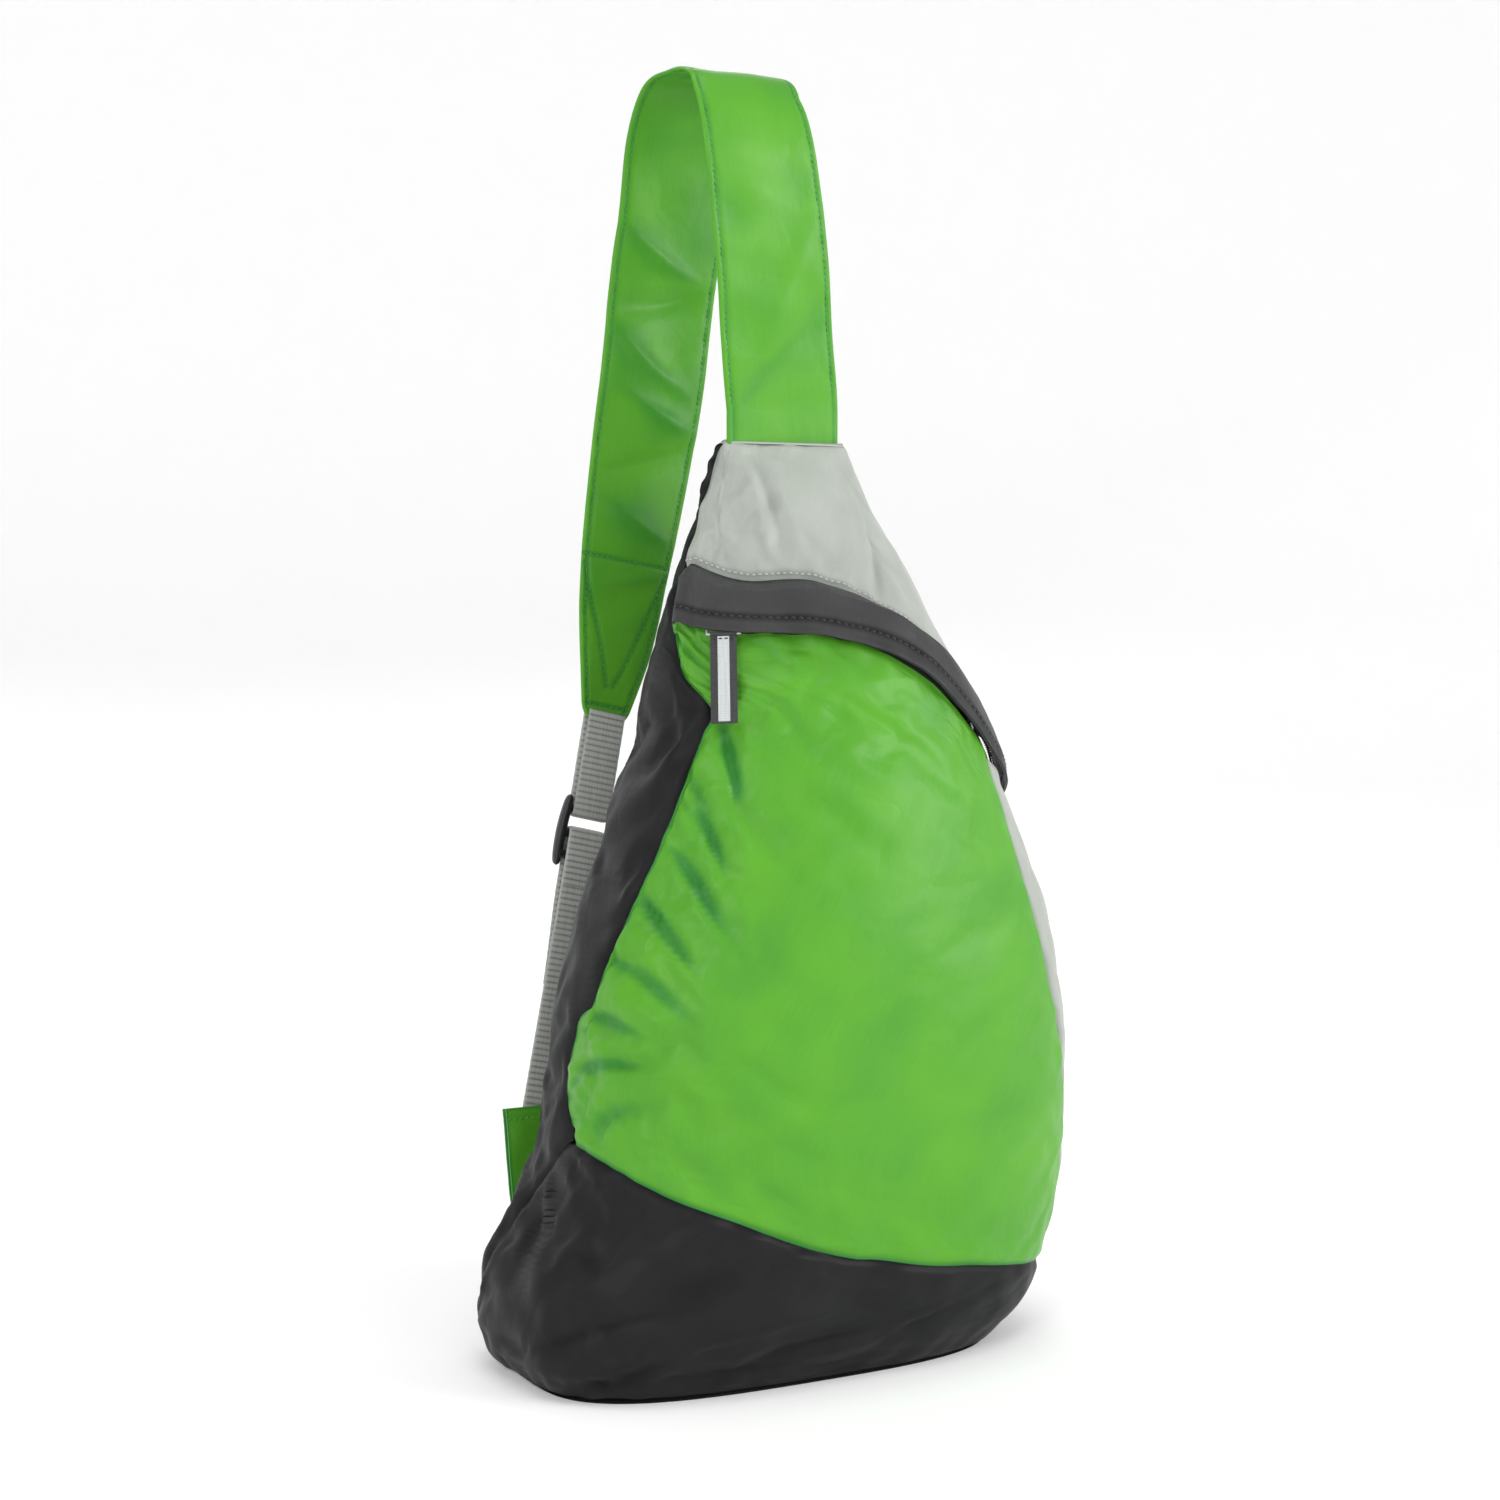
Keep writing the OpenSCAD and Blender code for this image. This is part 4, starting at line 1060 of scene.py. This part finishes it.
# %% Rows on the strap, the flap and the upper panel
edge_v = lambda sign: (lambda w: sign * (1 - 2 * STITCH_IN / w))
four_rows = lambda line: [strap_row(line, edge_v(k), f) for k in (-1, 1) for f in (-1, 1)]
up_clear = {k: v[40:] for k, v in up_line.items()}      # the rows start above the top seam
down_clear = {k: v[:-8] for k, v in down_line.items()}  # and end before the rounded hem
stitches("strap_front_stitches", four_rows(up_clear), GREEN_THREAD, "green_cloth",
         blend=FRONT_BLEND)
stitches("strap_back_stitches", four_rows(down_clear)
         + [strap_mark(down_line, mark, f) for mark in STRAP_MARKS for f in (-1, 1)],
         GREEN_THREAD, "green_cloth", blend=BACK_BLEND)
stitches("flap_stitches", [row_at(flap_grid, HEM)], DARK_THREAD, "charcoal_cloth", "bag",
         pitch=3.6, long=2.8, thick=0.55)
stitches("grey_stitches", [row_at(upper_grid, UPPER_STITCH)], PALE_THREAD, "grey_cloth", "bag")

# %% [markdown]
# ## Webbing and buckle
# The webbing is 20 mm wide, woven in cross ribs with a smooth selvedge. The upper piece loops
# over the buckle's top bar; the lower piece comes up from the corner tab, goes round the middle
# bar and hangs down behind itself as the loose tail. Its end in the tab is sewn to the bag, so
# it is a piece of its own, which reaches TWIST above it.

# %% Webbing line
CORNER = bare(-128.0, 0.26 * BAG_H)
TAB_W, TAB_H, WEB_W, WEB_T, BAR_R = 32.0, 54.0, 20.0, 1.6, 2.0
TAB_TOP = CORNER + [2, 21.5, 0]
TAB_FOOT = CORNER + [2, 12.5, -TAB_H]
WEB_FOOT = TAB_TOP + [TAB_W / 2 - WEB_W / 2 - 2, 0, 0]
WEB_HEAD = strap_at(np.array(len(STRAP_LINE) - 1.0))[:3] + ROOT
WEB_DIR = unit(WEB_HEAD - WEB_FOOT)
WEB_LEN = float(np.linalg.norm(WEB_HEAD - WEB_FOOT))
WEB_X = unit(np.array([1.0, 0, 0]) - WEB_DIR * WEB_DIR[0])
WEB_Y = np.cross(WEB_DIR, WEB_X)
on_web = lambda x, y, z: (WEB_FOOT + np.multiply.outer(x, WEB_X) + np.multiply.outer(y, WEB_Y)
                          + np.multiply.outer(z, WEB_DIR))
BUCKLE_AT, BUCKLE_L, SIDE_W, FIT = WEB_LEN - 58, 36.0, 4.6, 0.2
BARS = (BUCKLE_L / 2 - 7, -1.0, -BUCKLE_L / 2 + 6)
BAR_OUT = BAR_R + FIT + WEB_T / 2
print("webbing", round(WEB_LEN, 1), "mm from", np.round(WEB_FOOT, 1), "to", np.round(WEB_HEAD, 1))


# %% Webbing material
def webbing_material():
    """Ribbed webbing: painted shade follows each rib and a second thread, darkest between
    the ribs, and the weave's streak adds painted sheen.
    """
    m, t, shader = new_material("grey_webbing")
    uv = put(t, "ShaderNodeUVMap", uv_map="cloth").outputs[0]
    weave = put(t, "ShaderNodeGroup", node_tree=WEAVE, links={"Cloth": uv})
    weave.inputs["Pitch"].default_value = 0.0007
    rib = put(t, "ShaderNodeAttribute", attribute_name="rib").outputs["Fac"]
    sheen_streak = calc(t, "MULTIPLY", calc(t, "SUBTRACT", weave.outputs["Streak"], 0.5), 0.5)
    # Painted shade between the ribs and painted sheen from the streak set the colour.
    factor = put(t, "ShaderNodeClamp", links={"Value": calc(
        t, "ADD", calc(t, "MULTIPLY", rib, 0.85), sheen_streak)}).outputs[0]
    tint_base(t, shader, factor, (0.15, 0.16, 0.145), (0.56, 0.585, 0.54))
    t.links.new(calc(t, "SUBTRACT", 0.75, calc(t, "MULTIPLY", rib, 0.15)),
                shader.inputs["Roughness"])
    threads = put(t, "ShaderNodeBump", values={"Strength": 0.35, "Distance": 0.0004},
                  links={"Height": weave.outputs["Height"]})
    t.links.new(threads.outputs[0], shader.inputs["Normal"])
    shader.inputs["Sheen Weight"].default_value = 0.25
    return m


WEBBING = webbing_material()

# %% Webbing strip
RIB, RIB_STEPS, THREAD, SELVEDGE = 3.0, 12, 1.45, 1.3


def webbing(name, path, body_name, lead=0.0, blend=None):
    """A ribbed strip along a path of (y, z) points on the webbing's own plane. The path is cut
    into steps of a twelfth of a rib; ribs raise both faces by the size of a sine, broken by
    finer threads along the webbing, and stop at the selvedge."""
    path = np.asarray(path, float)
    run = lengths(path, 0)
    at = np.linspace(0, run[-1], max(RIB_STEPS, int(run[-1] / RIB * RIB_STEPS)))
    here = track(path, run, at)
    along = unit(track(path, run, np.minimum(at + 0.35, run[-1]))
                 - track(path, run, np.maximum(at - 0.35, 0)))
    out = np.stack([along[:, 1], -along[:, 0]], -1)
    v, face = both_faces(np.r_[-1, np.linspace(-0.985, 0.985, 27), 1])
    vv, rr = np.meshgrid(v, at + lead)
    inside = np.clip((1 - np.abs(vv)) * WEB_W / 2 / SELVEDGE, 0, 1)
    rib = np.abs(np.sin(np.pi * rr / RIB)) ** 0.6 * inside + (1 - inside) * 0.9
    rib = rib * (0.86 + 0.14 * np.cos(2 * np.pi * vv * WEB_W / 2 / THREAD))
    thick = (WEB_T / 2) * (1 - np.abs(vv) ** 10 * 0.8) - 0.3 * (1 - rib)
    y = here[:, :1] + out[:, :1] * (face * thick)
    z = here[:, 1:] + out[:, 1:] * (face * thick)
    x = vv * WEB_W / 2 * (1 + 0.004 * np.sin(rr))
    points = (WEB_FOOT + x[..., None] * WEB_X + y[..., None] * WEB_Y + z[..., None] * WEB_DIR)
    uv = np.stack([vv * 10 + 20 + face * 12, rr], -1)
    # The rib height also goes to the material, which paints shade between the ribs.
    piece = add_piece(name, points.reshape(-1, 3), ring_faces(len(at), len(v)), uv.reshape(-1, 2),
                      WEBBING, body_name, "grey_webbing", crisp=60, rib=rib.ravel())
    if blend:
        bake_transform(piece)
    print(name, round(float(run[-1])), "mm,", len(at), "rings")
    return piece


# %% Webbing pieces
def bend_path(bar, up, front_leg, rear_leg, tail=0.0):
    """A path down or up one leg, round a bar by half a turn, and along the other leg, which
    may go on as a tail that drifts in to the leg in front of it."""
    r = BAR_OUT
    a = np.linspace(np.pi, 0, 25)
    sign = 1 if up else -1
    arc = np.stack([r * np.cos(a), -sign * r * np.sin(a)], -1)
    k = np.linspace(0.05, 1, 20) if tail else np.zeros(0)
    hang = np.stack([r - (r + 0.3) * k * k * (3 - 2 * k), sign * (rear_leg + tail * k)], -1)
    return (np.vstack([[[-r, sign * front_leg]], arc, [[r, sign * rear_leg]], hang])
            + [0, BUCKLE_AT + BARS[bar]])


HEAD_GAP, BEND_LEG, TAIL_L = 0.8, 26.0, 50.0
loop_leg = WEB_LEN - BUCKLE_AT - BARS[0] - HEAD_GAP
loop = webbing("webbing_loop_cloth", bend_path(0, True, loop_leg + 5, loop_leg + 3), "adjuster")
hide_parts("webbing_loop")
fold_piece = webbing("webbing_fold_cloth", bend_path(1, False, BEND_LEG, BEND_LEG, TAIL_L),
                     "adjuster")
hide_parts("webbing_bend", "webbing_tail")
ROOT_IN, TWIST, LOW_STOP = 12.0, 14.0, BUCKLE_AT + BARS[1] - BEND_LEG


def lower_path(z_from, z_to):
    """A straight run of the lower webbing: it moves over to the buckle's bar as it rises."""
    z = np.linspace(z_from, z_to, 40)
    return np.stack([-BAR_OUT * np.clip(z / LOW_STOP, 0, 1), z], -1)


on_line = lambda z: tuple((WEB_FOOT + z * WEB_DIR) * MM)
sewn = webbing("webbing_root_cloth", lower_path(-ROOT_IN, TWIST), None,
               blend=("bag", "strap", on_line(0.0), on_line(TWIST)))
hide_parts("webbing_root")
lower = webbing("webbing_lower_cloth", lower_path(TWIST, LOW_STOP), None, lead=ROOT_IN + TWIST,
                blend=("strap", "adjuster", on_line(TWIST + 2), on_line(LOW_STOP - 2)))
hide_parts("webbing_lower")


# %% Buckle
def bar_along(path, half_w, half_t, across, power=3.0, sides=20):
    """A moulded bar: a superellipse section carried along a path of points, its sizes given at
    each point. Returns points and faces."""
    path = np.asarray(path, float)
    along = unit(np.gradient(path, axis=0))
    x = unit(across - along * (along @ across)[:, None])
    y = np.cross(along, x)
    a = np.linspace(0, 2 * np.pi, sides, endpoint=False)
    c, s = (np.sign(np.cos(a)) * np.abs(np.cos(a)) ** (2 / power),
            np.sign(np.sin(a)) * np.abs(np.sin(a)) ** (2 / power))
    points = (path[:, None] + x[:, None] * (half_w[:, None] * c)[..., None]
              + y[:, None] * (half_t[:, None] * s)[..., None])
    return points.reshape(-1, 3), ring_faces(len(path), sides)


def join_parts(parts):
    """Several (points, faces) as one pair."""
    start, points, faces = 0, [], []
    for part_points, part_faces in parts:
        points.append(part_points)
        faces.append(part_faces + start)
        start += len(part_points)
    return np.vstack(points), np.vstack(faces)


def make_buckle():
    """A ladder-lock: two side bars that bow outwards in the middle, and three cross bars."""
    k, x = np.linspace(-1, 1, 41), np.linspace(-1, 1, 21)
    ends = np.sqrt(np.clip(1 - np.abs(k) ** 14, 0.02, 1))
    apart, lean = WEB_W + 1.2 + SIDE_W, np.radians(8)
    parts = []
    for sign in (-1, 1):
        z = k * BUCKLE_L / 2
        side_x = sign * (apart / 2 + 0.3 - 0.9 * k * k)
        path = on_web(side_x, -np.sin(lean) * z + 0.5 * (1 - k * k) - 0.25,
                      BUCKLE_AT + np.cos(lean) * z)
        parts.append(bar_along(path, SIDE_W / 2 * ends * (1 - 0.22 * k * k),
                               (BAR_R + 1.0) * ends * (1 - 0.2 * k * k), WEB_X))
    thick = BAR_R * (1 + 0.12 * x ** 4)
    for z in BARS:
        path = on_web(x * apart / 2, 0 * x, BUCKLE_AT + z + 0 * x)
        parts.append(bar_along(path, thick, thick, WEB_DIR, power=2.3))
    points, faces = join_parts(parts)
    piece = add_piece("ladder_lock", points, faces, points[:, :2], PLASTIC, "adjuster",
                      "black_plastic", crisp=60)
    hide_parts("buckle")


make_buckle()

# %% [markdown]
# ## Corner tab
# A folded tab of the green cloth is sewn into the lower left corner and holds the webbing's end.


# %% Corner tab
PATTERN_HALF, PATTERN_LONG, TAB_STITCH_ROW = 18, 62, 6


def tab_layer(name, side):
    """One layer: straight at the top hem, drawn together towards the foot, with slanting pulls
    that run from the webbing's stitches to the sewn edge."""
    down = unit(TAB_FOOT - TAB_TOP)
    out_dir = np.array([0, -down[2], down[1]]) * side
    s, t = np.meshgrid(np.linspace(-1, 1, 41), np.linspace(0, 1, 61))
    gap = (WEB_T + 1) / 2
    open_by = curve([[0, gap], [0.45, gap * 0.9], [1, 0.15]], t)
    x, run = s * PATTERN_HALF, t * PATTERN_LONG
    pulls = 0.6 * waves(x, run, 22, 95 + side) * np.clip(t * 6, 0, 1)
    hem = 0.35 * np.exp(-((t - 0.09) / 0.012) ** 2)
    point = (TAB_TOP + down * (TAB_H * t)[..., None]
             + np.array([1, 0, 0]) * (s * TAB_W / 2 * (1 - 0.04 * t))[..., None]
             + out_dir * (open_by + pulls)[..., None])
    outer = point + out_dir * (1.1 - hem)[..., None]
    grids = np.stack([outer, point] if side < 0 else [point, outer])[:, ::-1]
    uv = np.stack([x + 200, run], -1)
    seam = np.minimum(PATTERN_HALF * (1 - np.abs(s)), PATTERN_LONG * (1 - t)) + 0.6
    piece = add_piece(name, grids.reshape(-1, 3), slab_faces(*s.shape),
                      np.vstack([uv.reshape(-1, 2)] * 2), GREEN, "bag", "green_cloth",
                      seam=np.tile(seam.ravel(), 2))
    line = outer[TAB_STITCH_ROW] + out_dir * 0.1
    return piece, (line, np.broadcast_to(out_dir, line.shape))


tab_a, tab_row_a = tab_layer("tab_front_cloth", -1)
tab_b, tab_row_b = tab_layer("tab_back_cloth", 1)
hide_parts("tab_front")
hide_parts("tab_back")
stitches("tab_stitches", [tab_row_a, tab_row_b], GREEN_THREAD, "green_cloth", "bag")

# %% [markdown]
# ## Zip, puller and pull tab
# Under the flap a coil zip runs on its circle. Its slider carries a wire puller, and a doubled
# ribbon with a reflective stripe hangs from the wire over the green cloth.

# %% Zip tapes and coil
tape_material = cloth_material("zip_tape_weave", (0.02, 0.02, 0.021), (0.006, 0.006, 0.006),
                               pitch=0.0008, crumple=0.1, rough=0.7, thread=0.3)
TAPE_FROM, TAPE_TO, TAPE_IN, TAPE_OUT, TAPE_UP = -74, 71, 3.7, 8.0, 0.5
for side_name, sign in (("upper", 1), ("lower", -1)):
    tape_u, off = np.meshgrid(np.linspace(TAPE_FROM, TAPE_TO, 121),
                              np.linspace(TAPE_IN, TAPE_OUT, 7)[::sign])
    tape_z = zip_z(tape_u) + sign * off
    skin, tape_n = body(tape_u, tape_z), normal(tape_u, tape_z)
    grids = np.stack([skin + TAPE_UP * tape_n, skin + 0.05 * tape_n])
    uv = np.stack([tape_u * 2, off], -1).reshape(-1, 2)
    tape = add_piece(f"zip_tape_{side_name}_cloth", grids.reshape(-1, 3),
                     slab_faces(*off.shape), np.vstack([uv] * 2), tape_material, "bag",
                     "zip_tape", seam=np.full(2 * off.size, OPEN_CLOTH))
    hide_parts(f"zip_tape_{side_name}")

# %% Zip coil
ZIP_LEAN, ZIP_TURN = np.arccos(ZIP_N[2]), np.arctan2(ZIP_N[1], ZIP_N[0])
ZIP_X = np.array([np.cos(ZIP_LEAN) * np.cos(ZIP_TURN), np.cos(ZIP_LEAN) * np.sin(ZIP_TURN),
                  -np.sin(ZIP_LEAN)])
ZIP_Y = np.array([-np.sin(ZIP_TURN), np.cos(ZIP_TURN), 0.0])


def zip_angle(u):
    """Angle about the zip's centre, in degrees, of the place u on the zip."""
    place = body(u, zip_z(u)) - ZIP_C
    return np.degrees(np.arctan2(place @ ZIP_Y, place @ ZIP_X)) % 360


SLIDER_U, COIL_END_U, SLIDER_HALF, TURN_PITCH = -58.0, 67.0, 7, 1.5
REST_ANGLE = float(zip_angle(SLIDER_U))
coil_from = REST_ANGLE + np.degrees(np.arcsin(SLIDER_HALF / ZIP_R))
coil_to = float(zip_angle(COIL_END_U))
turns = int(np.radians(coil_to - coil_from) * ZIP_R / TURN_PITCH)
turn_at = np.linspace(0, turns, turns * 14 + 1)
angle = np.radians(coil_from + (coil_to - coil_from) * turn_at / turns)
rim = np.cos(angle)[:, None] * ZIP_X + np.sin(angle)[:, None] * ZIP_Y
wire_r = np.full(len(turn_at), 0.26)
parts = []
for half, sign in ((0.0, 1), (0.5, -1)):
    wind = 2 * np.pi * (turn_at + half)
    line = (ZIP_C + rim * (ZIP_R + 0.62 * np.sin(wind))[:, None]
            + ZIP_N * (sign * 0.4 + 0.5 * np.cos(wind))[:, None])
    parts.append(bar_along(line, wire_r, wire_r, ZIP_N, 2.0, 6))
coil_points, coil_faces = join_parts(parts)
coil = add_piece("zip_coil", coil_points, coil_faces, coil_points[:, :2], NYLON, "bag",
                 "zip_nylon")
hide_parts("zip_chain")
print("zip coil of", turns, "turns each side")

# %% Puller frame of reference
PULLER_TILT, RIBBON_W, RIBBON_L, RIBBON_T = np.radians(31), 12.5, 45.0, 1.2
PIVOT_X, PIVOT_Z = 1.9 + 1.1 + 0.85, -(ZIP_HIDE + 4.5)
REST_OUT = np.cos(np.radians(REST_ANGLE)) * ZIP_X + np.sin(np.radians(REST_ANGLE)) * ZIP_Y
PULL_Y = -np.sin(np.radians(REST_ANGLE)) * ZIP_X + np.cos(np.radians(REST_ANGLE)) * ZIP_Y
PULL_X = np.cos(PULLER_TILT) * REST_OUT - np.sin(PULLER_TILT) * ZIP_N
PULL_Z = np.sin(PULLER_TILT) * REST_OUT + np.cos(PULLER_TILT) * ZIP_N
PULL_O = ZIP_C + ZIP_R * REST_OUT + PIVOT_X * PULL_X
at_puller = lambda x, y, z: (PULL_O + x[..., None] * PULL_X + y[..., None] * PULL_Y
                             + z[..., None] * PULL_Z)


# %% Ribbon material
def ribbon_material(name, colour, deep, rough, metallic=0.0):
    """Grosgrain: fine cross ribs on the ribbon's own length, with painted shade in their troughs
    and painted sheen from the weave's streak.
    """
    m, t, shader = new_material(name)
    uv = put(t, "ShaderNodeUVMap", uv_map="cloth").outputs[0]
    weave = put(t, "ShaderNodeGroup", node_tree=WEAVE, links={"Cloth": uv})
    weave.inputs["Pitch"].default_value = 0.0006
    split = put(t, "ShaderNodeSeparateXYZ", links={0: uv})
    rib = calc(t, "SINE", calc(t, "MULTIPLY", split.outputs[1], 2 * np.pi / 0.0009))
    # Painted shade and sheen: the colour is darker in the troughs of the ribs and follows the
    # weave's sheen streak.
    factor = put(t, "ShaderNodeClamp", links={"Value": calc(t, "ADD", calc(
        t, "MULTIPLY", rib, 0.25), calc(t, "MULTIPLY", weave.outputs["Streak"], 1.1))}).outputs[0]
    tint_base(t, shader, factor, deep, colour)
    t.links.new(calc(t, "ADD", rough, calc(t, "MULTIPLY", rib, 0.04)), shader.inputs["Roughness"])
    bump = put(t, "ShaderNodeBump", values={"Strength": 0.25, "Distance": 0.0003},
               links={"Height": rib})
    t.links.new(bump.outputs[0], shader.inputs["Normal"])
    shader.inputs["Metallic"].default_value = metallic
    shader.inputs["Sheen Weight"].default_value = 0.2
    return m


RIBBON = ribbon_material("black_grosgrain", (0.035, 0.035, 0.037), (0.012, 0.012, 0.013), 0.6)
SILVER = ribbon_material("reflective_stripe", (0.62, 0.66, 0.66), (0.42, 0.45, 0.45), 0.42)


# %% Ribbon and stripe
def ribbon_strip(name, half, z_from, z_to, inner, outer, material, slot):
    """A flat strip on the puller's plane, from z_from down to z_to, bent by a gentle curl."""
    v, face = both_faces(np.sin(np.linspace(-np.pi / 2, np.pi / 2, 15)))
    outside = (face + 1) / 2
    z = np.linspace(z_from, z_to, 80)
    vv, zz = np.meshgrid(v, z)
    curl = 0.35 * np.sin((zz - z_from) / 16) * (vv * 0.3 + 1)
    x = inner + (outer - inner) * outside + curl
    points = at_puller(x, vv * half, zz)
    uv = np.stack([vv * half + 20 * outside, zz], -1)
    return add_piece(name, points.reshape(-1, 3), ring_faces(len(z), len(v)),
                     uv.reshape(-1, 2), material, "tab", slot)


tab_end = PIVOT_Z - RIBBON_L
ribbon = ribbon_strip("pull_ribbon", RIBBON_W / 2, PIVOT_Z - 1.0, tab_end, -RIBBON_T / 2,
                      RIBBON_T / 2, RIBBON, "black_ribbon")
FOLD_R = 1.4
aa, yy = np.meshgrid(np.linspace(0, 2 * np.pi, 29)[:-1],
                     np.linspace(-RIBBON_W / 2, RIBBON_W / 2, 15))
fold_points = at_puller(FOLD_R * np.cos(aa), yy, PIVOT_Z + FOLD_R * np.sin(aa))
add_piece("pull_ribbon_fold", fold_points.reshape(-1, 3), ring_faces(*aa.shape),
          np.stack([yy, aa * FOLD_R], -1).reshape(-1, 2), RIBBON, "tab", "black_ribbon")
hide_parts("pull_tab")
stripe = ribbon_strip("pull_stripe", 2.75, PIVOT_Z - 1.4, tab_end + 0.7, RIBBON_T / 2 - 0.05,
                      RIBBON_T / 2 + 0.3, SILVER, "reflective")
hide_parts("reflective_strip")
bar_y = np.linspace(-RIBBON_W / 2 + 0.8, RIBBON_W / 2 - 0.8, 12)
bar_line = at_puller(np.full(12, RIBBON_T / 2 + 0.35), bar_y, np.full(12, PIVOT_Z - 2.6))
stitches("pull_stitches", [(bar_line, np.broadcast_to(PULL_X, bar_line.shape))], DARK_THREAD,
         "black_ribbon", "tab", pitch=2.2, long=2.0, thick=0.35)

# %% Finishes of the CAD's own zip parts
for node, finish in (("zip_slider", ENAMEL), ("zip_puller", STEEL), ("zip_stops", ENAMEL)):
    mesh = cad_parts[node].data
    for slot_at in range(len(mesh.materials)):
        mesh.materials[slot_at] = finish
    if not mesh.materials:
        mesh.materials.append(finish)

# %% [markdown]
# ## Floor and light
# The floor is a wide pale dish, so the same soft ground shows from every side. Large soft lamps
# stand high to the left, to the right and over the bag.


# %% Floor
def make_floor():
    """A surface of revolution: flat out to 2.4 m, then a smooth rise to a wall."""
    profile = np.array([[0.001, 0], [0.4, 0], [1.2, 0], [2.4, 0], [2.9, 0.08], [3.3, 0.35],
                        [3.6, 0.9], [3.7, 1.8], [3.7, 4.2]])
    sides = 96
    a = np.linspace(0, 2 * np.pi, sides, endpoint=False)
    points = np.stack([np.outer(profile[:, 0], np.cos(a)), np.outer(profile[:, 0], np.sin(a)),
                       np.repeat(profile[:, 1:], sides, axis=1)], -1)
    mesh = bpy.data.meshes.new("floor")
    mesh.from_pydata(points.reshape(-1, 3).tolist(), [],
                     tube_quads(len(profile), sides).tolist() + [list(range(sides))[::-1]])
    mesh.polygons.foreach_set("use_smooth", np.ones(len(mesh.polygons), bool))
    m, _, shader = new_material("pale_floor")
    shader.inputs["Base Color"].default_value = (0.93, 0.93, 0.93, 1)
    shader.inputs["Roughness"].default_value = 0.9
    shader.inputs["Specular IOR Level"].default_value = 0.1
    shader.inputs["Emission Color"].default_value = (1, 1, 1, 1)
    shader.inputs["Emission Strength"].default_value = 0.15
    mesh.materials.append(m)
    floor = bpy.data.objects.new("floor", mesh)
    bpy.context.scene.collection.objects.link(floor)


make_floor()


# %% Lights
def lamp(name, place, size, power, aim=(0.0, 0.0, 0.28)):
    """A square soft lamp that faces a point."""
    data = bpy.data.lights.new(name, "AREA")
    data.size, data.energy = size, power
    o = bpy.data.objects.new(name, data)
    o.location = place
    o.rotation_euler = (Vector(aim) - Vector(place)).to_track_quat("-Z", "Y").to_euler()
    bpy.context.scene.collection.objects.link(o)


lamp("key_lamp", (1.8, -1.7, 1.1), 0.9, 23)
lamp("left_lamp", (-2.2, -1.9, 1.7), 0.9, 17)
lamp("top_lamp", (0.0, -0.4, 3.0), 1.8, 27)
lamp("back_lamp", (0.5, 2.4, 1.6), 1.6, 12)
world = bpy.data.worlds.new("studio")
world.use_nodes = True
sky = world.node_tree.nodes["Background"]
sky.inputs["Color"].default_value = (1, 1, 1, 1)
sky.inputs["Strength"].default_value = 0.25
bpy.context.scene.world = world
bpy.context.scene.view_settings.view_transform = "Standard"
